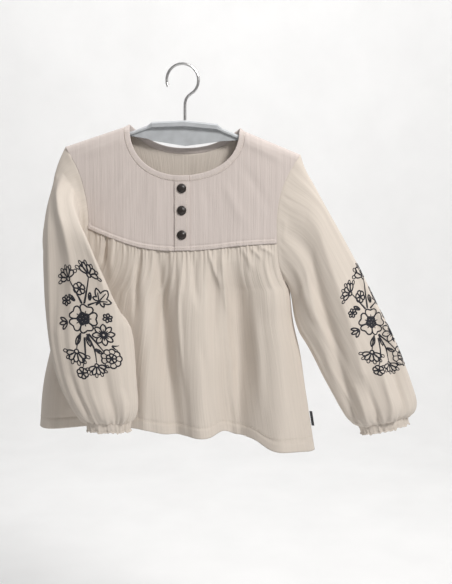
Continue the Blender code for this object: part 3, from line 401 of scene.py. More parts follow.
def follow(table, key, column, at):
    """Read a table's column as a smooth curve over its key column, which rises or falls."""
    keys = np.asarray(table[key], dtype=float)
    values = np.asarray(table[column], dtype=float)
    if keys[0] > keys[-1]:
        keys = keys[::-1]
        values = values[::-1]
    return curve_at(keys, values, np.clip(np.asarray(at, dtype=float), keys[0], keys[-1]))


def run_along(points):
    """The distance along a line to each of its points."""
    lengths = np.linalg.norm(np.diff(points, axis=0), axis=1)
    return np.concatenate([[0.0], np.cumsum(lengths)])


def read_at(place, at, rows):
    """Each column of rows at a place, by straight lines between them."""
    return np.array([np.interp(place, at, column) for column in np.transpose(rows)])


def smooth_step(low, high, at):
    """0 below low, 1 above high, and a soft rise between them."""
    share = np.clip((np.asarray(at, dtype=float) - low) / (high - low), 0.0, 1.0)
    return share * share * (3.0 - 2.0 * share)


def shoulder_line(x):
    """Height of the shoulder line, carried level across the neck."""
    return np.interp(x, *zip(SHOULDER_LEFT, NECK_POINT_LEFT, NECK_POINT_RIGHT, SHOULDER_RIGHT))


def body_depth(face, x, z):
    """Signed depth of the cloth in front of or behind the hanger's plane."""
    drop = np.maximum(shoulder_line(x) - z, 0.0)
    return OUTWARD[face] * follow(DEPTH_BY_DROP, "drop", face, drop)


SIDE_EDGE = {key: ARMHOLE[key] + SIDE_SEAM[key][1:] for key in ("left_x", "left_z", "right_x", "right_z")}
SIDE_EDGE["fullness"] = ARMHOLE["fullness"] + (0.0,) * (len(SIDE_SEAM["along"]) - 1)


def body_surface(face, x, z):
    """Points of the body's front or back at x and z, rounded to its side edges."""
    x, z = np.broadcast_arrays(np.asarray(x, dtype=float), np.asarray(z, dtype=float))
    left_x = follow(SIDE_EDGE, "left_z", "left_x", z)
    right_x = follow(SIDE_EDGE, "right_z", "right_x", z)
    across = np.clip((x - left_x) / (right_x - left_x), 0.0, 1.0)
    left_full = follow(SIDE_EDGE, "left_z", "fullness", z)
    right_full = follow(SIDE_EDGE, "right_z", "fullness", z)
    full = np.maximum(left_full + (right_full - left_full) * across, 0.0)
    away = np.abs(2.0 * across - 1.0)
    upright = np.maximum(1.0 - away ** SIDE_ROUND_POWER, 0.0) ** (1.0 / SIDE_ROUND_POWER)
    soft = 1.0 - away ** SIDE_SOFT_POWER
    bump = soft + (upright - soft) * (1.0 - full)
    return np.stack([x, body_depth(face, x, z) * (full + (1.0 - full) * bump), z], axis=-1)


def armhole(side, face, along):
    """Points of the armhole's seam line."""
    x = follow(ARMHOLE, "along", side + "_x", along)
    z = follow(ARMHOLE, "along", side + "_z", along)
    full = np.maximum(follow(ARMHOLE, "along", "fullness", along), 0.0)
    return np.stack([x, body_depth(face, x, z) * full, z], axis=-1)


def side_seam(side, along):
    """Points of the side seam."""
    x = follow(SIDE_SEAM, "along", side + "_x", along)
    z = follow(SIDE_SEAM, "along", side + "_z", along)
    return np.stack([x, np.zeros_like(x), z], axis=-1)


def front_neck(side, degrees):
    """The front neckline's x and z: 0 degrees at its lowest point, 90 at the neck point."""
    end = NECK_POINT_LEFT if side == "left" else NECK_POINT_RIGHT
    angle = np.radians(degrees)
    out = np.sin(angle) ** NECK_CURVE_POWER
    up = 1.0 - np.maximum(np.cos(angle), 0.0) ** NECK_CURVE_POWER
    x = FRONT_NECK_LOW[0] + (end[0] - FRONT_NECK_LOW[0]) * out
    z = FRONT_NECK_LOW[1] + (end[1] - FRONT_NECK_LOW[1]) * up
    return x, z


def back_neck_height(x):
    """Height of the back neckline at x."""
    end_x = np.where(x < BACK_NECK_LOW[0], NECK_POINT_LEFT[0], NECK_POINT_RIGHT[0])
    end_z = np.where(x < BACK_NECK_LOW[0], NECK_POINT_LEFT[1], NECK_POINT_RIGHT[1])
    share = np.minimum(np.abs((x - BACK_NECK_LOW[0]) / (end_x - BACK_NECK_LOW[0])), 1.0)
    return BACK_NECK_LOW[1] + (end_z - BACK_NECK_LOW[1]) * share ** BACK_NECK_POWER


def fold_height(folds, x, down):
    """How far a panel's folds stand out at x, with down from 0 at the top to 1 at the hem."""
    total = 0.0
    for top_x, hem_x, top, hem, half_width in folds:
        middle = top_x + (hem_x - top_x) * down
        height = top + (hem - top) * down
        total = total + height * np.exp(-(((x - middle) / half_width) ** 2))
    return total


def profile(share, crest):
    """A crease's section: 1 on its path, falling to 0; a crest has a sharper top."""
    if crest:
        return np.exp(0.3 - np.sqrt(0.09 + 1.6 * share * share))
    return np.exp(-(share ** 2))


def smooth_path(points, count):
    """A smooth line through a few points."""
    points = np.asarray(points, dtype=float)
    at = run_along(points)
    return curve_at(at, points, np.linspace(0.0, at[-1], count))


def crease_height(creases, x, z):
    """How far the listed creases stand out at x and z."""
    total = np.zeros(x.shape)
    for few, height, left, right, *crest in creases:
        path = smooth_path(few, 16)
        nearest = np.full(x.shape, 1e9)
        sideways = np.zeros(x.shape)
        run = np.zeros(x.shape)
        for index, (start, end) in enumerate(zip(path[:-1], path[1:])):
            step = end - start
            share = ((x - start[0]) * step[0] + (z - start[1]) * step[1]) / (step @ step)
            share = np.clip(share, 0.0, 1.0)
            off_x = x - start[0] - step[0] * share
            off_z = z - start[1] - step[1] * share
            distance = np.hypot(off_x, off_z)
            closer = distance < nearest
            nearest = np.where(closer, distance, nearest)
            sideways = np.where(closer, np.sign(off_z * step[0] - off_x * step[1]), sideways)
            run = np.where(closer, (index + share) / (len(path) - 1), run)
        fade = smooth_step(-0.1, 0.25, run) * smooth_step(0.0, 0.45, 1.0 - run)
        total += height * fade * profile(nearest / np.where(sideways < 0.0, left, right), crest)
    return total


def gather_height(around, below, period, count, seed, height, spread, reach, wraps=False):
    """Uneven gathers: narrow ridges that start at a seam and die out at their own lengths."""
    chance = np.random.default_rng(seed)
    total = 0.0
    for index in range(count):
        place = (index + 0.5 + chance.uniform(-0.32, 0.32)) * period / count
        tall = height * chance.uniform(0.25, 1.0)
        long = reach * chance.uniform(0.25, 1.0) ** 1.5
        drift = chance.uniform(-0.06, 0.06)
        wide = spread * chance.uniform(0.75, 1.3)
        away = around - place - drift * below
        if wraps:
            away = (away + period / 2.0) % period - period / 2.0
        widening = wide * (1.0 + 0.5 * below / reach)
        total = total + tall * np.exp(-((away / widening) ** 2)) * np.exp(-below / long)
    return total - 0.35 * height * np.exp(-below / reach)


def ring_gathers(degrees, below, seed, settings):
    """Gathers that run all the way around a ring."""
    count, seed_step, height, spread, reach = settings
    return gather_height(degrees, below, 360.0, count, seed + seed_step, height, spread, reach, wraps=True)


def tube_cut(radius, offset, degrees, along):
    """A tube's place on the cut: it stays round there, so that its crinkle has no seam."""
    angle = np.radians(degrees)[None, :]
    along = along[:, None]
    level = 0.0 * along
    places = [radius * np.cos(angle) + offset + level, radius * np.sin(angle) + level, along + 0.0 * angle]
    return np.stack(places, axis=-1)


def grid_faces(rows, columns, closed):
    """The faces of a grid of points, joined around where it is closed."""
    row = np.arange(rows - 1)[:, None] * columns
    here = np.arange(columns if closed else columns - 1)[None, :]
    after = (here + 1) % columns
    faces = np.stack([row + here, row + columns + here, row + columns + after, row + after], axis=-1)
    return faces.reshape(-1, 4)


def cloth_object(name, grid, cut, wall, material, closed=False):
    """A sheet through a grid of points, thickened into a wall, with each point's place on its cut."""
    faces = grid_faces(*grid.shape[:2], closed).tolist()
    piece = solid_object(name, grid.reshape(-1, 3), faces, material)
    place = piece.data.attributes.new("cut", "FLOAT_VECTOR", "POINT")
    place.data.foreach_set("vector", (cut.reshape(-1, 3) * MM).astype(np.float32).ravel())
    if wall:
        thicken = piece.modifiers.new("wall", "SOLIDIFY")
        thicken.thickness = wall * MM
        thicken.offset = 0.0
    return piece


def link_object(name, data):
    """A new object for its data, in the scene."""
    thing = bpy.data.objects.new(name, data)
    bpy.context.scene.collection.objects.link(thing)
    return thing


def solid_object(name, verts, faces, material):
    """A smooth mesh from points in millimetres."""
    mesh = bpy.data.meshes.new(name)
    mesh.from_pydata((np.asarray(verts) * MM).tolist(), [], faces)
    mesh.shade_smooth()
    mesh.materials.append(material)
    return link_object(name, mesh)


def tuck_top(grid, amount, inward):
    """Add a row under the seam before a grid's first one, drawn inward."""
    toward = grid[0] - grid[1]
    toward /= np.maximum(np.linalg.norm(toward, axis=-1, keepdims=True), 1e-6)
    extra = grid[0] + amount * toward
    extra[:, 1] -= np.sign(extra[:, 1]) * inward
    return np.concatenate([extra[None], grid])


def spaced(count, crowd=0.0):
    """Even shares from 0 to 1, drawn towards both ends by crowd."""
    even = np.linspace(0.0, 1.0, count)
    return even - crowd * np.sin(2.0 * math.pi * even) / (2.0 * math.pi)


def side_edge(side, face, down, armhole_from, underarm):
    """A panel's side edge: the armhole from a given point on, then the side seam."""
    upper = armhole(side, face, armhole_from + (1.0 - armhole_from) * np.minimum(down / underarm, 1.0))
    lower = side_seam(side, np.maximum((down - underarm) / (1.0 - underarm), 0.0))
    return np.where((down <= underarm)[..., None], upper, lower)


def panel_place(left, right, top, hem, ends, across, down):
    """The x and z of a panel's points, between its side edges and from its top to its hem."""
    x = left[..., 0] + (right[..., 0] - left[..., 0]) * across
    z = top + (hem - top) * down
    left_miss = left[..., 2] - (ends[0][0] + (ends[0][1] - ends[0][0]) * down)
    right_miss = right[..., 2] - (ends[1][0] + (ends[1][1] - ends[1][0]) * down)
    return x, z + left_miss * (1.0 - across) ** 3 + right_miss * across ** 3


def yoke_seam_height(x):
    """Height of the yoke's seam at x."""
    left_x = follow(ARMHOLE, "along", "left_x", YOKE_CORNER)
    right_x = follow(ARMHOLE, "along", "right_x", YOKE_CORNER)
    return follow(YOKE_SEAM, "across", "z", (x - left_x) / (right_x - left_x))


def hem_relief(over_hem, around, seed):
    """The turned hem: a doubled band with a stitched groove above it and fine puckers."""
    chance = np.random.default_rng(seed)
    band = 0.55 * smooth_step(HEM_BAND + 1.2, HEM_BAND - 0.6, over_hem)
    groove = -0.9 * np.exp(-(((over_hem - HEM_BAND) / 1.5) ** 2))
    phase = chance.uniform(0.0, 6.28)
    pucker = np.sin(around / 2.6 + phase + 2.0 * np.sin(around / 19.0)) * np.sin(around / 31.0 + phase)
    near = np.exp(-(((over_hem - HEM_BAND) / 9.0) ** 2))
    return band + groove + 0.4 * near * pucker


def close_sides(points, across, z, toward):
    """Draw a panel's side edges in below the underarms, so that the front meets the back."""
    for side, share in (("left", across), ("right", 1.0 - across)):
        near = np.clip(share / SIDE_CLOSING, 0.0, 1.0)
        rounded = (1.0 - (1.0 - near) ** SIDE_ROUND_POWER) ** (1.0 / SIDE_ROUND_POWER)
        drawn = (1.0 - rounded) * smooth_step(0.0, SIDE_CLOSING_FROM, SIDE_SEAM[side + "_z"][0] - z)
        points[..., 1] += drawn * (toward * WALL / 2.0 - points[..., 1])


def shape_panel(face, points, across, z, hem, out):
    """Add a panel's folds and its turned hem, and draw its sides in."""
    near_side = smooth_step(0.0, NEAR_SIDE, np.minimum(across, 1.0 - across))
    turned = hem_relief(z - hem, across * HEM_WIDTH, HEM_SEEDS[face])
    points[..., 1] += OUTWARD[face] * (out + near_side * turned)
    close_sides(points, across, z, OUTWARD[face])


def front_grid(across, down):
    """The gathered lower front."""
    across = across[None, :]
    down = down[:, None]
    left, right = (side_edge(side, "front", down, YOKE_CORNER, UNDERARM_SHARE) for side in SIDES)
    top = follow(YOKE_SEAM, "across", "z", across)
    hem = follow(FRONT_HEM, "across", "z", across)
    ends = [(YOKE_SEAM["z"][end], FRONT_HEM["z"][end]) for end in (0, -1)]
    x, z = panel_place(left, right, top, hem, ends, across, down)
    points = body_surface("front", x, z)
    from_left, from_right = FRONT_FOLDS_FROM_SIDES
    inside = smooth_step(0.0, from_left, across) * smooth_step(0.0, from_right, 1.0 - across)
    out = inside * fold_height(FRONT_FOLDS, x, down) * smooth_step(*FRONT_FOLDS_DOWN, down)
    near_side = smooth_step(0.0, NEAR_SIDE, np.minimum(across, 1.0 - across))
    below = np.maximum(top - z, 0.0)
    start = 0.45 + 0.55 * smooth_step(0.0, 6.0, below)
    gathers = gather_height(across * FRONT_GATHERS[0], below, *FRONT_GATHERS)
    lower = np.maximum(below - FRONT_RIPPLES_BELOW, 0.0)
    ripples = gather_height(across * FRONT_RIPPLES[0], lower, *FRONT_RIPPLES)
    out = out + near_side * (start * gathers + 0.8 * smooth_step(4.0, 40.0, below) * ripples)
    out = out + near_side * crease_height(FRONT_CREASES, x, z)
    shape_panel("front", points, across, z, hem, out)
    cut = np.stack([across * FRONT_CUT_WIDTH + 0.0 * down, np.zeros_like(x), -z], axis=-1)
    return points, cut


def back_grid(across, down):
    """The back in one piece."""
    across = across[None, :]
    down = down[:, None]
    left, right = (side_edge(side, "back", down, 0.0, BACK_UNDERARM_SHARE) for side in SIDES)
    top_x = SHOULDER_LEFT[0] + (SHOULDER_RIGHT[0] - SHOULDER_LEFT[0]) * across
    in_neck = (NECK_POINT_LEFT[0] < top_x) & (top_x < NECK_POINT_RIGHT[0])
    top = np.where(in_neck, back_neck_height(top_x), shoulder_line(top_x))
    hem = follow(BACK_HEM, "across", "z", across)
    ends = ((SHOULDER_LEFT[1], BACK_HEM["z"][0]), (SHOULDER_RIGHT[1], BACK_HEM["z"][-1]))
    x, z = panel_place(left, right, top, hem, ends, across, down)
    points = body_surface("back", x, z)
    inside = smooth_step(0.0, BACK_FOLDS_FROM_SIDES, np.minimum(across, 1.0 - across))
    out = inside * fold_height(BACK_FOLDS, x, down) * smooth_step(*BACK_FOLDS_DOWN, down)
    near_top = smooth_step(4.0, 30.0, shoulder_line(x) - z)
    out = out + inside * near_top * crease_height(BACK_CREASES, x, z)
    below = np.maximum(BACK_RIPPLES_FROM_Z - z, 0.0)
    ripples = gather_height(across * BACK_RIPPLES[0], below, *BACK_RIPPLES)
    out = out + inside * smooth_step(0.0, 60.0, below) * ripples
    shape_panel("back", points, across, z, hem, out)
    width, depth = BACK_CUT
    cut = np.stack([across * width + 0.0 * down, np.full_like(x, depth), -z], axis=-1)
    return points, cut


def yoke_relief(x, z):
    """How far the yoke stands out: its band over the seam, fine puckers and its creases."""
    over_seam = np.maximum(z - yoke_seam_height(x), 0.0)
    raised = 1.5 * smooth_step(YOKE_BAND + 0.9, YOKE_BAND - 0.1, over_seam)
    groove = -0.5 * np.exp(-(((over_seam - YOKE_BAND - 0.8) / 1.1) ** 2))
    pucker = 0.3 * np.sin(x / 1.7 + 2.0 * np.sin(x / 11.0)) * np.exp(-over_seam / 7.0)
    middle = smooth_step(0.0, 10.0, shoulder_line(x) - z)
    return raised + groove + pucker + middle * crease_height(YOKE_CREASES, x, z)


def yoke_stitch_path(side, over):
    """A stitch line on the yoke's band, a set height over its seam."""
    outer_x = float(follow(ARMHOLE, "along", side + "_x", YOKE_CORNER))
    inner_x = PLACKET_LEFT_X - 0.5 if side == "left" else PLACKET_RIGHT_X + 0.5
    x = np.linspace(outer_x * 0.985, inner_x, 160)
    z = yoke_seam_height(x) + over
    points = body_surface("front", x, z)
    points[:, 1] -= yoke_relief(x, z) + WALL / 2.0
    return points, np.tile([0.0, -1.0, 0.0], (len(x), 1))


def yoke_grid(side, columns, rows):
    """Half of the front yoke: rows run from the neck out to the seam and the armhole."""
    outer_x = float(follow(ARMHOLE, "along", side + "_x", YOKE_CORNER))
    index = np.linspace(0.0, len(YOKE_NECK_DEGREES) - 1.0, columns)
    degrees = np.interp(index, np.arange(len(YOKE_NECK_DEGREES)), YOKE_NECK_DEGREES)
    share = np.interp(index, np.arange(len(YOKE_OUTER_SHARES)), YOKE_OUTER_SHARES)
    start_x, start_z = front_neck(side, degrees)
    start_x[0] = CENTRE_X
    seam_x = CENTRE_X + (outer_x - CENTRE_X) * np.minimum(share, 1.0)
    edge = armhole(side, "front", YOKE_CORNER * (2.0 - np.maximum(share, 1.0)))
    on_seam = share <= 1.0
    end_x = np.where(on_seam, seam_x, edge[:, 0])
    end_z = np.where(on_seam, yoke_seam_height(seam_x), edge[:, 2])
    out = spaced(rows, 0.35)[:, None]
    x = start_x + (end_x - start_x) * out
    z = start_z + (end_z - start_z) * out
    points = body_surface("front", x, z)
    points[..., 1] -= yoke_relief(x, z)
    cut = np.stack([x + YOKE_CUT[0], np.full_like(x, YOKE_CUT[1]), -z], axis=-1)
    return points, cut


def armhole_ring(side, degrees):
    """The armhole as a closed ring: 0 at the shoulder, 90 in front, 180 at the underarm."""
    along = 1.0 - np.abs(1.0 - degrees / 180.0)
    in_front = (degrees <= 180.0)[:, None]
    point = np.where(in_front, armhole(side, "front", along), armhole(side, "back", along))
    clear = SLEEVE_SEAM_CLEAR + UNDERARM_CLEAR * smooth_step(YOKE_CORNER, 1.0, along)
    point[:, 0] += OUTWARD[side] * clear
    return point


def sleeve_head(side, degrees):
    """A sleeve's second ring: it carries the armhole's ring outward, less so at the underarm."""
    reach, fall, forward = SLEEVE_HEAD[side]
    along = 1.0 - np.abs(1.0 - degrees / 180.0)
    near_from, held_back = SLEEVE_HEAD_UNDERARM
    near = smooth_step(near_from, 1.0, along)
    out = OUTWARD[side] * reach * (1.0 - held_back * near)
    shift = [out, -forward * near, np.full_like(near, -fall)]
    return armhole_ring(side, degrees) + np.stack(shift, axis=1)


def section_ring(table, row, degrees):
    """One of a sleeve's sections."""
    outer = np.array([table["outer_x"][row], 0.0, table["outer_z"][row]])
    inner = np.array([table["inner_x"][row], 0.0, table["inner_z"][row]])
    middle = (outer + inner) / 2.0
    middle[1] = table["middle_y"][row]
    angle = np.radians(degrees + table["turn"][row])[:, None]
    forward = np.sin(angle)
    toward_front = np.array([0.0, -table["half_depth"][row], table["front_rise"][row]])
    ring = middle + (outer - inner) / 2.0 * np.cos(angle) + toward_front * forward
    ring[:, 0] += table["front_shift"][row] * (forward * (1.0 + forward) / 2.0)[:, 0]
    ring[:, 0] += table["back_shift"][row] * (np.abs(forward) * (1.0 - forward) / 2.0)[:, 0]
    return ring


def plain_sleeve(side, table, columns, stations):
    """A sleeve without its folds, evened out near the armhole, then meshed finely."""
    degrees = 360.0 * np.arange(SLEEVE_COLUMNS) / SLEEVE_COLUMNS
    keys = np.concatenate([[0.0, SLEEVE_HEAD_AT], np.arange(1.0, LAST_SECTION + 1.0)])
    rings = [armhole_ring(side, degrees), sleeve_head(side, degrees)]
    rings += [section_ring(table, row, degrees) for row in range(LAST_SECTION)]
    coarse = np.array(SLEEVE_STATIONS)
    rings = curve_at(keys, np.array(rings), coarse)
    ease = SLEEVE_EASE * (1.0 - smooth_step(SLEEVE_EASE_FROM, SLEEVE_EASE_TO, coarse))[1:-1, None, None]
    for _ in range(SLEEVE_EASE_PASSES):
        beside = np.roll(rings, 1, axis=1)[1:-1] + np.roll(rings, -1, axis=1)[1:-1]
        rings[1:-1] += ease * ((rings[:-2] + rings[2:] + beside) / 4.0 - rings[1:-1])
    rings = curve_at(coarse, rings, stations)
    around = np.concatenate([rings[:, -2:], rings, rings[:, :3]], axis=1).transpose(1, 0, 2)
    fine = SLEEVE_COLUMNS * np.arange(columns) / columns
    fine_rings = curve_at(np.arange(-2.0, SLEEVE_COLUMNS + 3.0), around, fine)
    return fine_rings.transpose(1, 0, 2)


def surface_normals(grid, closed):
    """The outward direction at each point of a grid, up to its sign."""
    down = np.gradient(grid, axis=0)
    if closed:
        around = np.roll(grid, -1, axis=1) - np.roll(grid, 1, axis=1)
    else:
        around = np.gradient(grid, axis=1)
    normal = np.cross(around, down)
    return normal / np.maximum(np.linalg.norm(normal, axis=-1, keepdims=True), 1e-9)


def sleeve_grid(side, table, folds):
    """A sleeve from its armhole to its cuff, with its folds, gathers and pleats."""
    columns, rows = SLEEVE_GRID
    stations = LAST_SECTION * spaced(rows, SLEEVE_CROWD)
    rings = plain_sleeve(side, table, columns, stations)
    outward = surface_normals(rings, True)
    outward *= np.sign(np.sum(outward * (rings - rings.mean(axis=1, keepdims=True))))
    degrees = 360.0 * np.arange(columns) / columns
    station = stations[:, None]
    height = np.zeros((rows, columns))
    for low, high, start, end, bow, tall, before, after, *crest in folds:
        share = (station - low) / (high - low)
        swell = np.sin(math.pi * np.clip(share, 0.0, 1.0))
        middle = start + (end - start) * share + bow * swell
        away = (degrees - middle + 180.0) % 360.0 - 180.0
        height += tall * swell ** 0.6 * profile(away / np.where(away < 0.0, before, after), crest)
    seed = SLEEVE_SEEDS[side]
    over_cuff = (LAST_SECTION - station) * CUFF_SECTION
    pleats = ring_gathers(degrees, over_cuff, seed, SLEEVE_PLEATS)
    height += pleats * (0.5 + 0.5 * smooth_step(0.0, 6.0, over_cuff)) * smooth_step(80.0, 30.0, over_cuff)
    from_head = station * HEAD_SECTION
    head = ring_gathers(degrees, from_head, seed, SLEEVE_HEAD_GATHERS)
    height += head * smooth_step(0.0, 5.0, from_head)
    from_start = np.abs(station - SLEEVE_RIPPLES_AT) * CUFF_SECTION
    ripples = ring_gathers(degrees, from_start, seed, SLEEVE_RIPPLES)
    height += ripples * smooth_step(0.0, 1.5, station) * smooth_step(0.0, 1.0, LAST_SECTION - station)
    rings = rings + outward * height[..., None]
    lengths = np.linalg.norm(np.diff(rings, axis=0), axis=2).mean(axis=1)
    along = np.concatenate([[0.0], np.cumsum(lengths)])
    return rings, tube_cut(SLEEVE_CUT_RADIUS, SLEEVE_CUT[side], degrees, along), outward


def cuff_grid(side, sleeve, drop):
    """The elastic cuff: it carries the sleeve's last ring on, puffed between its two seams."""
    last = sleeve[-1]
    middle = last.mean(axis=0)
    down = np.array([drop[0], 0.0, drop[1]])
    degrees = 360.0 * np.arange(len(last)) / len(last)
    spoke = (last - middle) / np.linalg.norm(last - middle, axis=1, keepdims=True)
    seed = CUFF_SEEDS[side]
    below = np.full(len(last), 3.0)
    pleats = ring_gathers(degrees, below, seed, CUFF_PLEATS)
    puckers = ring_gathers(degrees, below, seed, CUFF_PUCKERS)
    edge = 1.0 + 0.045 * np.sin(np.radians(degrees * 9.0 + seed)) + 0.03 * np.sin(np.radians(degrees * 23.0))
    shares = spaced(CUFF_ROWS, 0.3)
    rings = []
    for share in shares:
        shrink = 0.985 - 0.05 * math.sin(math.pi * share) ** 0.8
        ring = middle + (last - middle) * shrink + down * share * edge[:, None]
        puff = 0.5 * math.sin(math.pi * min(share / CUFF_SEAM_AT, 1.0)) ** 0.7
        groove = -0.7 * math.exp(-(((share - CUFF_SEAM_AT) / 0.07) ** 2))
        relief = pleats * (0.75 + 0.25 * math.cos(5.0 * share)) + puckers * share
        rings.append(ring + spoke * (puff + groove + relief)[:, None])
    return np.array(rings), tube_cut(CUFF_CUT_RADIUS, CUFF_CUT[side], degrees, shares * CUFF_DEPTH)


def neck_loop(count):
    """The neck's seam line, from the placket's edge around the back and up to it again."""
    low_share = (PLACKET_RIGHT_X - FRONT_NECK_LOW[0]) / (NECK_POINT_RIGHT[0] - FRONT_NECK_LOW[0])
    start = math.degrees(math.asin(low_share ** (1.0 / NECK_CURVE_POWER)))
    left_x, left_z = front_neck("left", np.linspace(0.0, 90.0, 60))
    short_x, short_z = front_neck("right", np.linspace(start, 0.0, 8)[:-1])
    share = (1.0 - np.cos(math.pi * np.linspace(0.0, 1.0, 90))) / 2.0
    back_x = NECK_POINT_LEFT[0] + (NECK_POINT_RIGHT[0] - NECK_POINT_LEFT[0]) * share[1:-1]
    right_x, right_z = front_neck("right", np.linspace(90.0, start, 60))
    front_x = np.concatenate([short_x, left_x])
    front_z = np.concatenate([short_z, left_z])
    points = np.concatenate([
        body_surface("front", front_x, front_z),
        body_surface("back", back_x, back_neck_height(back_x)),
        body_surface("front", right_x, right_z),
    ])
    lapped = 1.3 * smooth_step(-12.0, -5.0, points[:, 0])
    lapped[len(points) // 2:] = 0.0
    points[:, 1] -= lapped
    at = run_along(points)
    even = np.linspace(0.0, at[-1], count)
    loop = read_at(even, at, points).T
    for _ in range(4):
        loop[1:-1] = (loop[:-2] + 2.0 * loop[1:-1] + loop[2:]) / 4.0
    return loop, even


def neck_inward(loop):
    """The direction across the binding, from its seam to its free edge."""
    along = np.gradient(loop, axis=0)
    inward = np.stack([-along[:, 2], np.zeros(len(loop)), along[:, 0]], axis=1)
    inward /= np.linalg.norm(inward, axis=1, keepdims=True)
    inward *= np.sign(np.sum(inward * -loop, axis=1))[:, None]
    inward[:3] = (0.0, 0.0, 1.0)
    inward[-3:] = (0.0, 0.0, 1.0)
    for _ in range(30):
        inward[1:-1] = (inward[:-2] + 2.0 * inward[1:-1] + inward[2:]) / 4.0
    return inward / np.linalg.norm(inward, axis=1, keepdims=True)


def make_binding(material):
    """The folded strip around the neck: a soft rounded band, open at the placket's edge."""
    loop, at = neck_loop(BINDING_STEPS)
    inward = neck_inward(loop)
    along = np.gradient(loop, axis=0)
    along /= np.linalg.norm(along, axis=1, keepdims=True)
    out = np.cross(along, inward)
    out *= np.sign(np.sum(out * np.where(loop[:, 1:2] < 0.0, [[0, -1, 0]], [[0, 1, 0]]), axis=1))[:, None]
    ring = []
    for degrees in np.linspace(0.0, 360.0, 19)[:-1]:
        angle = math.radians(degrees)
        across = BINDING_WIDTH / 2.0 * (1.0 + math.copysign(abs(math.cos(angle)) ** 0.55, math.cos(angle)))
        half = BINDING_HALF * math.copysign(abs(math.sin(angle)) ** 0.6, math.sin(angle))
        ring.append((across, half))
    wave = np.sin(at / 2.3 + 1.5 * np.sin(at / 13.0))
    rows = []
    for across, half in ring:
        pucker = 0.16 * wave * math.exp(-(((across - 1.4) / 1.2) ** 2)) * np.sign(half)
        rows.append(loop + inward * across + out * (half + pucker)[:, None])
    grid = np.array(rows)
    level = 0.0 * grid[..., 0]
    across = np.array(ring)[:, :1]
    cut = np.stack([level + BINDING_CUT, level + at, level + across], axis=-1)
    grid, cut = grid.transpose(1, 0, 2), cut.transpose(1, 0, 2)
    piece = cloth_object("binding_cloth", grid, cut, 0.0, material, closed=True)
    add_end_caps(piece, grid.shape[1])
    return piece, loop, inward, out


def add_end_caps(piece, around):
    """Close both ends of a tube."""
    mesh = piece.data
    total = len(mesh.vertices)
    build = bmesh.new()
    build.from_mesh(mesh)
    build.verts.ensure_lookup_table()
    build.faces.new([build.verts[index] for index in range(around)])
    build.faces.new([build.verts[index] for index in range(total - 1, total - around - 1, -1)])
    build.to_mesh(mesh)
    build.free()


def placket_grid():
    """The strip over the front opening, a little raised, with a soft turned edge."""
    columns, rows = PLACKET_GRID
    share = spaced(columns, 0.5)[None, :]
    down = spaced(rows, 0.2)[:, None]
    x = PLACKET_LEFT_X + (PLACKET_RIGHT_X - PLACKET_LEFT_X) * share + 0.0 * down
    end_x = np.where(x < FRONT_NECK_LOW[0], NECK_POINT_LEFT[0], NECK_POINT_RIGHT[0])
    end_z = np.where(x < FRONT_NECK_LOW[0], NECK_POINT_LEFT[1], NECK_POINT_RIGHT[1])
    out = (x - FRONT_NECK_LOW[0]) / (end_x - FRONT_NECK_LOW[0])
    angle = np.arcsin(np.clip(out, 0.0, 1.0) ** (1.0 / NECK_CURVE_POWER))
    top = FRONT_NECK_LOW[1] + (end_z - FRONT_NECK_LOW[1]) * (1.0 - np.cos(angle) ** NECK_CURVE_POWER)
    bottom = yoke_seam_height(x) + 0.8
    z = top + (bottom - top) * down
    points = body_surface("front", x, z)
    over = 1.3 + 0.35 * np.sin(math.pi * share) ** 0.5
    wave = 0.18 * np.sin(z / 4.1 + np.sin(z / 13.0)) * np.cos(2.0 * math.pi * share)
    over = over + wave + 0.9 * smooth_step(5.0, 3.0, z - bottom)
    points[..., 1] -= over
    cut = np.stack([x + PLACKET_CUT, np.zeros_like(x), -z], axis=-1)
    return points, cut


def thread_ring(centre, beside, out, half, rise, lift):
    """The points around a thread that lies on cloth."""
    angle = 2.0 * math.pi / TUBE_SIDES * np.arange(TUBE_SIDES)[:, None]
    return list(centre + beside * half * np.cos(angle) + out * (lift + rise * np.sin(angle)))


def tube_faces(base, rings):
    """The faces of a thread through its rings, with both ends closed."""
    sides = np.roll(grid_faces(rings, TUBE_SIDES, True)[:, ::-1], 1, axis=1)
    around = list(range(TUBE_SIDES))
    ends = [around[::-1], [(rings - 1) * TUBE_SIDES + turn for turn in around]]
    return [[base + corner for corner in face] for face in sides.tolist() + ends]


def stitch_rows(name, paths, material):
    """Rows of short stitches, each a small rounded dash, along paths of points and outward directions."""
    verts = []
    faces = []
    shares = (0.0, 0.22, 0.5, 0.78, 1.0)
    for points, outs in paths:
        at = run_along(points)
        for start in np.arange(0.3, at[-1] - STITCH_LENGTH, STITCH_LENGTH + STITCH_GAP):
            faces += tube_faces(len(verts), len(shares))
            for share in shares:
                here = start + STITCH_LENGTH * share
                centre = read_at(here, at, points)
                out = read_at(here, at, outs)
                beside = np.cross(read_at(here + 0.3, at, points) - centre, out)
                beside /= max(np.linalg.norm(beside), 1e-9)
                swell = 0.25 + 0.75 * math.sin(math.pi * share) ** 0.5
                lift = 0.1 - 0.25 * abs(2.0 * share - 1.0) ** 3
                verts += thread_ring(centre, beside, out, STITCH_HALF * swell, STITCH_RISE * swell, lift)
    return solid_object(name, verts, faces, material)


def hem_path(grid, outs):
    """The hem's stitch line on a panel's outer face."""
    middle = grid.shape[1] // 2
    row = int(np.argmin(np.abs(grid[:, middle, 2] - (grid[-1, middle, 2] + HEM_BAND))))
    return grid[row] + (WALL / 2.0 + 0.05) * outs[row], outs[row]


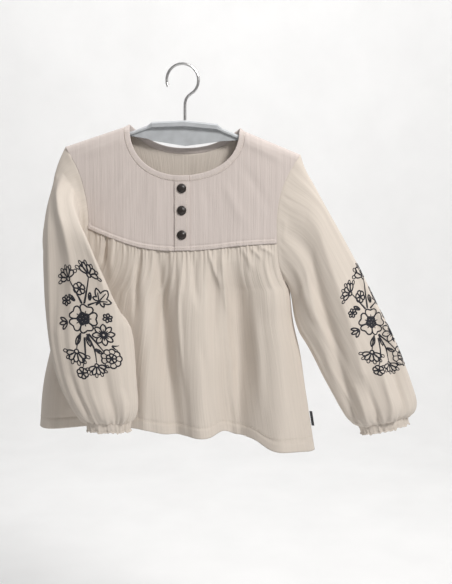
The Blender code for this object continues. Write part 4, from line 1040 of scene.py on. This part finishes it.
def placket_paths(strip):
    """The placket's stitch lines: down both edges and across its foot."""
    facing = np.array([0.0, -1.0, 0.0])
    width = PLACKET_RIGHT_X - PLACKET_LEFT_X
    paths = []
    for share in PLACKET_STITCH_SHARES:
        column = np.argmin(np.abs(strip[0, :, 0] - (PLACKET_LEFT_X + share * width)))
        paths.append(strip[2:-2, column])
    row = np.argmin(np.abs(strip[:, 0, 2] - (strip[-1, 0, 2] + PLACKET_FOOT)))
    paths.append(strip[row, 1:-1])
    return [(line + 0.5 * facing, np.tile(facing, (len(line), 1))) for line in paths]


def make_button(number, height, material):
    """A domed button with a turned rim and a shallow dish around the dome."""
    above = body_surface("front", CENTRE_X, height + BUTTON_RADIUS)
    below = body_surface("front", CENTRE_X, height - BUTTON_RADIUS)
    lean = math.atan2(above[1] - below[1], above[2] - below[2])
    forward = np.array([0.0, -math.cos(lean), math.sin(lean)])
    upward = np.array([0.0, math.sin(lean), math.cos(lean)])
    seat = np.array([CENTRE_X, (above[1] + below[1]) / 2 - BUTTON_SEAT, height])
    verts = []
    for radius, rise in BUTTON_OUTLINE:
        for angle in 2.0 * math.pi * np.arange(BUTTON_STEPS) / BUTTON_STEPS:
            aside = np.array([radius * math.cos(angle), 0.0, 0.0]) + upward * radius * math.sin(angle)
            verts.append(seat + aside + forward * rise)
    faces = grid_faces(len(BUTTON_OUTLINE), BUTTON_STEPS, True).tolist()
    return solid_object("button_cap_" + str(number), verts, faces, material)


def make_label(material):
    """The small side tab: a folded ribbon, round at its free edge, with its ends in the side seam."""
    low, high = (np.array(corner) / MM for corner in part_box("side_label"))
    size_x, depth, height = LABEL_SIZE
    lean = high[0] - low[0] - size_x
    down = np.linspace(0.0, 1.0, 20)[:, None]
    share = np.linspace(0.0, 1.0, 22)[None, :]
    run = 1.0 - np.abs(2.0 * share - 1.0)
    side = np.where(share < 0.5, -1.0, 1.0)
    bend = np.sqrt(np.maximum(1.0 - np.maximum((run - LABEL_FOLD) / (1.0 - LABEL_FOLD), 0.0) ** 2, 0.0))
    swell = 0.55 + 0.45 * np.sin(math.pi * np.minimum(run / LABEL_FOLD, 1.0) * 0.9)
    half = (depth / 2.0 - 0.2) * swell * bend
    x = low[0] + lean * down + 0.1 + (size_x - 0.3) * run
    y = side * half + 0.12 * np.sin(5.0 * down + 0.4) * run
    z = high[2] - 0.2 - (height - 0.2) * down - 0.12 * run * lean
    level = 0.0 * x
    cut = np.stack([level + TAB_CUT + share * 2.0 * size_x, level, level + height * down], axis=-1)
    return cloth_object("side_tab", np.stack([x, y, z], axis=-1), cut, LABEL_WALL, material)


# Embroidery: flat motifs in millimetres, U to the right and V down, each a list of
# (line, half width at its start, half width at its end).


def stroke(line, place, degrees, start=LINE, end=None):
    """A flat line turned and moved into place. At 0 degrees a motif points up, towards less V."""
    angle = math.radians(degrees)
    u, v = np.transpose(np.asarray(line, dtype=float))
    turned_u = u * math.cos(angle) - v * math.sin(angle) + place[0]
    turned_v = u * math.sin(angle) + v * math.cos(angle) + place[1]
    return np.stack([turned_u, turned_v], axis=1), start, start if end is None else end


def ring_line(radius, steps=14):
    """A small circle."""
    angle = np.linspace(0.0, 2.0 * math.pi, steps)
    return np.stack([radius * np.sin(angle), radius * np.cos(angle)], axis=1)


def petal_line(base, tip, width, notch=0.0, point=0.0):
    """A petal's outline from its base out to its tip; it may be notched or pointed."""
    angle = np.linspace(-math.pi, math.pi, 27)
    run = (1.0 + np.cos(angle)) / 2.0
    wide = width / 2.0 * np.sin(angle) * (0.45 + 0.75 * run) * (1.0 - point * run ** 3)
    long = base + (tip - base) * run - notch * np.exp(-((angle / 0.33) ** 2))
    return np.stack([wide, -long], axis=1)


def open_flower(place, radius, count, degrees, width=1.0, notch=0.0, point=0.0, veins=()):
    """A flower seen from above: petals around a small centre, with veins at the given leans."""
    strokes = [stroke(ring_line(radius * 0.16), place, 0.0)]
    full = 2.0 * radius * math.sin(math.pi / count) * 0.86 * width
    for index in range(count):
        turn = degrees + 360.0 * index / count
        strokes.append(stroke(petal_line(radius * 0.2, radius, full, notch, point), place, turn))
        for lean in veins:
            mark = [(0.0, -radius * 0.24), (0.0, -radius * (0.42 + 0.14 * (lean == 0.0)))]
            strokes.append(stroke(smooth_path(mark, 4), place, turn + lean, FINE_LINE * 1.3, FINE_LINE))
    return strokes


def fan_flower(place, radius, degrees, count=5):
    """A daisy seen from the side: a fan of petals in two layers on a small cup."""
    strokes = [stroke(ring_line(radius * 0.15), place, 0.0)]
    for index in range(count):
        turn = degrees - 66.0 + 132.0 * index / (count - 1)
        petal = petal_line(radius * 0.16, radius * (0.8 + 0.08 * (index % 2)), radius * 0.4, 0.0, 0.25)
        strokes.append(stroke(petal, place, turn))
    for index in range(count + 1):
        turn = degrees - 76.0 + 152.0 * index / count
        tip = petal_line(radius * 0.66, radius * 1.05, radius * 0.27, 0.0, 0.3)
        strokes.append(stroke(tip, place, turn, FINE_LINE))
    return strokes


def round_blossom(place, radius, degrees, lobes=9):
    """A round blossom with a scalloped edge and a crowded middle."""
    angle = np.linspace(0.0, 2.0 * math.pi, lobes * 9 + 1)
    edge = radius * (0.84 + 0.16 * np.abs(np.sin(lobes * angle / 2.0)) ** 0.7)
    strokes = [stroke(np.stack([edge * np.sin(angle), -edge * np.cos(angle)], axis=1), place, degrees)]
    mark = smooth_path([(0.0, -radius * 0.4), (0.0, -radius * 0.82)], 4)
    for index in range(lobes):
        strokes.append(stroke(mark, place, degrees + 360.0 * index / lobes, FINE_LINE))
    return strokes + open_flower(place, radius * 0.5, 6, degrees + 12.0)


def lobed_leaf(place, length, degrees):
    """A leaf with five pointed lobes, a midrib and side veins."""
    line = [(0.0, length * 0.42), (-length * 0.04, length * 0.12)]
    for angle, reach in ((-112, 0.5), (-56, 0.78), (0, 1.0), (56, 0.78), (112, 0.5)):
        for share in (-0.9, -0.45, 0.0, 0.45, 0.9):
            turn = math.radians(angle + 27.0 * share)
            far = length * reach * (0.5 + 0.5 * (1.0 - abs(share)) ** 0.8)
            line.append((far * math.sin(turn) * 0.8, -far * math.cos(turn)))
    line += [(length * 0.04, length * 0.12), (0.0, length * 0.42)]
    strokes = [stroke(line, place, degrees)]
    for angle, reach in ((0, 0.7), (56, 0.5), (-56, 0.5)):
        turn = math.radians(angle)
        tip = (length * 0.8 * reach * math.sin(turn), -length * reach * math.cos(turn))
        strokes.append(stroke(smooth_path([(0.0, length * 0.12), tip], 6), place, degrees, LINE, FINE_LINE))
    return strokes


def small_leaf(place, length, degrees):
    """A simple leaf with a midrib."""
    midrib = smooth_path([(0.0, 0.0), (0.0, -length * 0.7)], 5)
    return [
        stroke(petal_line(0.0, length, length * 0.46, 0.0, 0.75), place, degrees),
        stroke(midrib, place, degrees, LINE, FINE_LINE),
    ]


def bud(place, length, degrees):
    """A bud of three petals."""
    strokes = []
    for lean, wide in ((-40.0, 0.4), (0.0, 0.46), (40.0, 0.4)):
        petal = petal_line(0.0, length, length * wide, 0.0, 0.4)
        strokes.append(stroke(petal, place, degrees + lean))
    return strokes


def sprig(place, length, degrees):
    """Two short blades from one foot."""
    blade = smooth_path([(0.0, 0.0), (0.6, -length * 0.5), (0.0, -length)], 7)
    return [stroke(blade, place, degrees + lean, LINE * 1.3, FINE_LINE * 0.5) for lean in (-24.0, 24.0)]


def stem(*path):
    """A curved stem that thins towards its end."""
    return [(smooth_path(path, 18), LINE * 1.45, FINE_LINE)]


def spray():
    """The whole spray of one sleeve, around its middle: where each motif lies, its size and its turn."""
    motifs = (
        open_flower((-5, 2), 17.5, 5, 20, notch=2.6, veins=(-14.0, 0.0, 14.0)),
        open_flower((-5, 2), 7.6, 5, 56, 0.9, point=0.3),
        fan_flower((8, -50), 16.5, 14),
        fan_flower((-19, -44), 15.0, -26),
        open_flower((-7, -33), 7.0, 6, 8),
        lobed_leaf((17, -22), 22.0, 40),
        open_flower((-25, -20), 6.2, 6, 0, 0.9, point=0.7),
        bud((-24, 6), 11.0, -100),
        small_leaf((4, -20), 9.5, 8),
        open_flower((24, 0), 6.0, 6, 10, 0.9, point=0.7),
        open_flower((18, 22), 13.5, 8, 0, 0.92, point=0.6, veins=(0.0,)),
        small_leaf((-10, 21), 13.5, 212),
        small_leaf((-2, 23), 12.5, 172),
        small_leaf((-14, -19), 10.0, -40),
        sprig((25, 37), 9.0, 118),
        fan_flower((-19, 40), 16.0, 200),
        round_blossom((20, 53), 12.5, 0),
        fan_flower((0, 59), 14.0, 180),
        open_flower((-19, 66), 6.8, 6, 0),
        small_leaf((4, 39), 10.0, 132),
        stem((-3, -16), (2, -32), (7, -48)),
        stem((-6, -16), (-12, -30), (-17, -42)),
        stem((1, -14), (8, -17), (14, -19)),
        stem((-9, 19), (-14, 28), (-18, 37)),
        stem((-2, 20), (3, 38), (1, 56)),
        stem((0, 20), (9, 34), (14, 44)),
        stem((-5, 24), (-10, 46), (-17, 60)),
    )
    return [line for motif in motifs for line in motif]


def lay_line(u, v, down, column, grid, outward):
    """Points and outward directions where a flat line lies on a sleeve, around from its column."""
    rows, columns = grid.shape[:2]
    around = np.arange(-columns // 2, columns // 2 + 1) + column
    steps = np.arange(len(around))
    points = []
    facing = []
    for aside, place in zip(u, np.interp(v, down, np.arange(rows))):
        low = min(int(place), rows - 2)
        share = place - low
        ring = (grid[low] * (1.0 - share) + grid[low + 1] * share)[around % columns]
        outs = (outward[low] * (1.0 - share) + outward[low + 1] * share)[around % columns]
        arc = run_along(ring)
        step = np.interp(aside, arc - arc[columns // 2], steps)
        out = read_at(step, steps, outs)
        points.append(read_at(step, steps, ring))
        facing.append(out / np.linalg.norm(out))
    return np.array(points), np.array(facing)


def embroider(side, grid, outward, material):
    """The spray laid on a sleeve as raised lines of thread that follow its surface."""
    settings = EMBROIDERY[side]
    rows, columns = grid.shape[:2]
    column = int(round(settings["angle"] / 360.0 * columns)) % columns
    stations = LAST_SECTION * spaced(rows, SLEEVE_CROWD)
    down = run_along(grid[:, column])
    down -= down[np.argmin(np.abs(stations - settings["station"]))]
    lean = math.radians(settings["lean"])
    verts = []
    faces = []
    for line, start_half, end_half in spray():
        at = run_along(line)
        count = max(int(at[-1] / THREAD_STEP), 4)
        u, v = read_at(np.linspace(0.0, at[-1], count), at, line)
        u, v = u * math.cos(lean) - v * math.sin(lean), u * math.sin(lean) + v * math.cos(lean)
        points, facing = lay_line(settings["across"] * u, v, down, column, grid, outward)
        along = np.gradient(points, axis=0)
        along /= np.maximum(np.linalg.norm(along, axis=1, keepdims=True), 1e-9)
        halves = np.linspace(start_half, end_half, count)
        halves[[0, -1]] *= THREAD_END
        faces += tube_faces(len(verts), count)
        for point, out, beside, half in zip(points, facing, np.cross(along, facing), halves):
            verts += thread_ring(point, beside, out, half, THREAD_RISE, THREAD_RISE)
    return solid_object("embroidery_" + side, verts, faces, material)


# Materials


def node_tree(name):
    """A new Principled material, its tree and its shader."""
    material = bpy.data.materials.new(name)
    material.use_nodes = True
    tree = material.node_tree
    return material, tree, tree.nodes["Principled BSDF"]


def set_inputs(node, values):
    """Set a node's sockets by their names."""
    for name, value in values.items():
        node.inputs[name].default_value = value


def math_node(tree, operation, first, second):
    """A maths node on a socket and a second socket or a value."""
    node = tree.nodes.new("ShaderNodeMath")
    node.operation = operation
    tree.links.new(first, node.inputs[0])
    if isinstance(second, float):
        node.inputs[1].default_value = second
    else:
        tree.links.new(second, node.inputs[1])
    return node.outputs[0]


def add_shares(tree, first, *rest):
    """A value plus a share of each of the others."""
    for value, share in rest:
        first = math_node(tree, "ADD", first, math_node(tree, "MULTIPLY", value, share))
    return first


def noise_node(tree, vector, scale, detail, roughness=0.5, stretch=1.0):
    """A noise value at a place, stretched along the cut's length."""
    mapping = tree.nodes.new("ShaderNodeMapping")
    mapping.inputs["Scale"].default_value = (1.0, 1.0, stretch)
    tree.links.new(vector, mapping.inputs["Vector"])
    noise = tree.nodes.new("ShaderNodeTexNoise")
    tree.links.new(mapping.outputs["Vector"], noise.inputs["Vector"])
    set_inputs(noise, {"Scale": scale, "Detail": detail, "Roughness": roughness})
    return noise.outputs["Fac"]


def add_tint(tree, shader, value, colour, ends, tints):
    """Let the base colour run from a darker to a lighter tint of a colour over a value."""
    ramp = tree.nodes.new("ShaderNodeValToRGB")
    for element, end, tint in zip(ramp.color_ramp.elements, ends, tints):
        element.position = end
        element.color = (*(min(part * tint, 1.0) for part in colour), 1.0)
    tree.links.new(value, ramp.inputs["Fac"])
    tree.links.new(ramp.outputs["Color"], shader.inputs["Base Color"])


def add_bump(tree, shader, height, strength, distance=0.0002):
    """Raise a shader's surface by a height value."""
    bump = tree.nodes.new("ShaderNodeBump")
    set_inputs(bump, {"Strength": strength, "Distance": distance})
    tree.links.new(height, bump.inputs["Height"])
    tree.links.new(bump.outputs["Normal"], shader.inputs["Normal"])


def object_grain(tree, scale, detail):
    """A noise value in an object's own place."""
    return noise_node(tree, tree.nodes.new("ShaderNodeTexCoord").outputs["Object"], scale, detail)


def cloth_material(name, colour, line_strength):
    """Crinkled cotton: fine lengthwise lines and a small weave, laid in the cut's own directions, with
    painted shade in the lines' troughs.
    """
    material, tree, shader = node_tree(name)
    place = tree.nodes.new("ShaderNodeAttribute")
    place.attribute_name = "cut"
    vector = place.outputs["Vector"]
    lines = noise_node(tree, vector, 330.0, 2.0, 0.55, 0.025)
    fine = noise_node(tree, vector, 900.0, 2.0, 0.5, 0.05)
    weave = noise_node(tree, vector, 2100.0, 1.0, 0.5, 0.8)
    patch = noise_node(tree, vector, 17.0, 3.0)
    add_bump(tree, shader, add_shares(tree, lines, (fine, 0.35), (weave, 0.12)), line_strength, 0.0011)
    # Painted shade: the base colour is darker in the troughs of the crinkle lines; the broad patches are
    # random tone.
    trough_shade_and_patches = add_shares(tree, math_node(tree, "MULTIPLY", lines, 0.7), (patch, 0.3))
    add_tint(tree, shader, trough_shade_and_patches, colour, (0.3, 0.7), (0.95, 1.04))
    sheen = {"Sheen Weight": 0.12, "Sheen Roughness": 0.6}
    set_inputs(shader, {"Roughness": 0.92, "Specular IOR Level": 0.15, **sheen})
    return material


def thread_material(name, colour, roughness):
    """Twisted thread."""
    material, tree, shader = node_tree(name)
    grain = object_grain(tree, 1500.0, 2.0)
    add_tint(tree, shader, grain, colour, (0.35, 0.65), (0.75, 1.25))
    add_bump(tree, shader, grain, 0.4)
    set_inputs(shader, {"Roughness": roughness})
    return material


def moulded_material(name, colour, roughness, grain_scale, grain, metallic=0.0):
    """Moulded plastic or drawn wire with a faint surface grain."""
    material, tree, shader = node_tree(name)
    value = object_grain(tree, grain_scale, 3.0)
    add_tint(tree, shader, value, colour, (0.35, 0.65), (0.93, 1.05))
    rough = math_node(tree, "ADD", math_node(tree, "MULTIPLY", value, 0.2), roughness - 0.1)
    tree.links.new(rough, shader.inputs["Roughness"])
    add_bump(tree, shader, value, grain)
    set_inputs(shader, {"Metallic": metallic})
    return material


def add_light(name, size, location, target, energy, colour):
    """A soft rectangular light aimed at a point."""
    data = bpy.data.lights.new(name, "AREA")
    data.shape = "RECTANGLE"
    data.size, data.size_y = size
    data.energy = energy
    data.color = colour
    light = link_object(name, data)
    light.location = location
    light.rotation_euler = (Vector(location) - Vector(target)).to_track_quat("Z", "Y").to_euler()


def make_floor():
    """A pale floor that curves up into a wall behind the blouse."""
    material, tree, shader = node_tree("pale_floor")
    add_tint(tree, shader, object_grain(tree, 6.0, 4.0), (1.0, 1.0, 1.0), (0.3, 0.7), (0.9, 0.94))
    set_inputs(shader, {"Roughness": 0.9})
    sweep = [(-STUDIO_SIZE, FLOOR_Z)]
    for angle in np.radians(np.arange(0, 91, 9)).tolist():
        across = SWEEP_Y + SWEEP_RADIUS * math.sin(angle)
        sweep.append((across, FLOOR_Z + SWEEP_RADIUS * (1.0 - math.cos(angle))))
    sweep.append((SWEEP_Y + SWEEP_RADIUS, STUDIO_SIZE))
    corners = [(x, y, z) for y, z in sweep for x in (-STUDIO_SIZE, STUDIO_SIZE)]
    faces = [(2 * row, 2 * row + 1, 2 * row + 3, 2 * row + 2) for row in range(len(sweep) - 1)]
    mesh = bpy.data.meshes.new("floor")
    mesh.from_pydata(corners, [], faces)
    mesh.shade_smooth()
    mesh.materials.append(material)
    link_object("floor", mesh)


def make_surroundings():
    """The floor, the light and the camera."""
    make_floor()
    scene = bpy.context.scene
    world = bpy.data.worlds.new("studio")
    world.use_nodes = True
    set_inputs(world.node_tree.nodes["Background"], {"Color": WORLD_COLOUR, "Strength": WORLD_STRENGTH})
    scene.world = world
    for name, settings in LIGHTS.items():
        add_light(name, *settings)
    data = bpy.data.cameras.new("camera")
    data.lens = LENS
    data.sensor_width = SENSOR
    camera = link_object("camera", data)
    pitch = math.radians(CAMERA_PITCH)
    back = Vector((0.0, -math.cos(pitch), math.sin(pitch)))
    camera.location = Vector(CAMERA_TARGET) + back * CAMERA_DISTANCE
    camera.rotation_euler = back.to_track_quat("Z", "Y").to_euler()
    scene.camera = camera
    scene.view_settings.view_transform = "Standard"


def attach(piece, slot_name, *nodes):
    """Hang a piece on the part and hide the nodes it stands for; slot_name is not used."""
    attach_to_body(piece, "root")
    if nodes:
        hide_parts(*nodes)
    return piece


def make_panels(cotton, yoke_cotton):
    """The lower front, the back and both halves of the front yoke."""
    pieces = {}
    front, cut = front_grid(spaced(FRONT_GRID[0], 0.4), spaced(FRONT_GRID[1], 0.15))
    tucked_cut = np.concatenate([cut[:1] - [0.0, 0.0, FRONT_TUCK[0]], cut])
    tucked = tuck_top(front, *FRONT_TUCK)
    pieces["front"] = cloth_object("front_body_cloth", tucked, tucked_cut, WALL, cotton)
    attach(pieces["front"], "crinkle_cotton", "front_body")
    back, cut = back_grid(spaced(BACK_GRID[0], 0.4), spaced(BACK_GRID[1], 0.3))
    pieces["back"] = cloth_object("back_cloth", back, cut, WALL, cotton)
    attach(pieces["back"], "crinkle_cotton", "back")
    for side in SIDES:
        grid, cut = yoke_grid(side, *YOKE_GRID)
        pieces["yoke_" + side] = cloth_object("front_yoke_cloth_" + side, grid, cut, WALL, yoke_cotton)
        attach(pieces["yoke_" + side], "crinkle_cotton", "front_yoke_" + side)
    return pieces, {"front": front, "back": back}


def make_sleeve(side, table, folds, drop, sleeve_cotton, cuff_cotton):
    """A sleeve, its cuff, and the surface that the embroidery lies on."""
    grid, cut, outward = sleeve_grid(side, table, folds)
    inner = grid[0].copy()
    inner[:, 0] -= OUTWARD[side] * SLEEVE_TUCK[0]
    inner[:, 1] -= np.sign(inner[:, 1]) * np.minimum(SLEEVE_TUCK[1], np.abs(inner[:, 1]))
    tucked = np.concatenate([inner[None], grid])
    tucked_cut = np.concatenate([cut[:1] - [0.0, 0.0, SLEEVE_TUCK[2]], cut])
    sleeve = cloth_object("sleeve_cloth_" + side, tucked, tucked_cut, WALL, sleeve_cotton, closed=True)
    attach(sleeve, "crinkle_cotton", "sleeve_" + side)
    cuff_rings, cuff_cut = cuff_grid(side, grid, drop)
    cuff = cloth_object("cuff_cloth_" + side, cuff_rings, cuff_cut, CUFF_WALL, cuff_cotton, closed=True)
    attach(cuff, "cotton_trim", "cuff_" + side)
    return sleeve, cuff, grid, outward


def make_stitches(grids, strip, binding_line, thread):
    """Every row of stitches, by the piece that it holds."""
    paths = {}
    for face, grid in grids.items():
        outs = surface_normals(grid, False)
        outs *= np.sign(OUTWARD[face] * outs[..., 1:2])
        paths["hem_stitches_" + face] = [hem_path(grid, outs)]
    for side in SIDES:
        paths["yoke_stitches_" + side] = [yoke_stitch_path(side, YOKE_STITCH_HEIGHT)]
    paths["placket_stitches"] = placket_paths(strip)
    paths["binding_stitches"] = [binding_line]
    return {name: attach(stitch_rows(name, lines, thread), "cotton_trim") for name, lines in paths.items()}


def main():
    """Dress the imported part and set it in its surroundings."""
    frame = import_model()
    cotton = cloth_material("cotton_cloth", CLOTH_COLOUR, 0.5)
    sleeve_cotton = cloth_material("cotton_sleeve_cloth", CLOTH_COLOUR, 0.34)
    yoke_cotton = cloth_material("cotton_yoke_cloth", YOKE_COLOUR, 0.6)
    trim = cloth_material("cotton_trim_cloth", YOKE_COLOUR, 0.35)
    cuff_cotton = cloth_material("cotton_cuff_cloth", CLOTH_COLOUR, 0.35)
    thread = thread_material("pale_thread", THREAD_COLOUR, 0.8)
    dark = moulded_material("dark_button", BUTTON_COLOUR, 0.38, 240.0, 0.15)
    dark_thread = thread_material("dark_thread", DARK_THREAD, 0.75)
    ribbon = thread_material("dark_ribbon", RIBBON_COLOUR, 0.8)
    plastic = moulded_material("pale_hanger", HANGER_COLOUR, 0.42, 90.0, 0.12)
    steel = moulded_material("steel_wire", STEEL_COLOUR, 0.3, 400.0, 0.1, 1.0)

    pieces, grids = make_panels(cotton, yoke_cotton)
    cottons = (sleeve_cotton, cuff_cotton)
    sleeves = {
        "left": make_sleeve("left", SLEEVE_LEFT, SLEEVE_LEFT_FOLDS, CUFF_LEFT_DROP, *cottons),
        "right": make_sleeve("right", SLEEVE_RIGHT, SLEEVE_RIGHT_FOLDS, CUFF_RIGHT_DROP, *cottons),
    }
    binding, loop, inward, out = make_binding(trim)
    attach(binding, "cotton_trim", "neck_binding")
    strip, strip_cut = placket_grid()
    placket = cloth_object("placket_cloth", strip, strip_cut, PLACKET_WALL, trim)
    attach(placket, "cotton_trim", "placket")
    for number, height in enumerate(BUTTON_HEIGHTS, start=1):
        attach(make_button(number, height, dark), "dark_cap", "button_" + str(number))
    binding_line = (loop + inward * BINDING_STITCH_IN + out * (BINDING_HALF + 0.05), out)
    stitches = make_stitches(grids, strip, binding_line, thread)
    for side in SIDES:
        _, _, grid, outward = sleeves[side]
        attach(embroider(side, grid, outward, dark_thread), "crinkle_cotton")
    tab = attach(make_label(ribbon), "tab_ribbon", "side_label")

    for name, material in (("hanger_body", plastic), ("hanger_hook", steel)):
        frame["nodes"][name].data.materials.clear()
        frame["nodes"][name].data.materials.append(material)

    make_surroundings()


main()
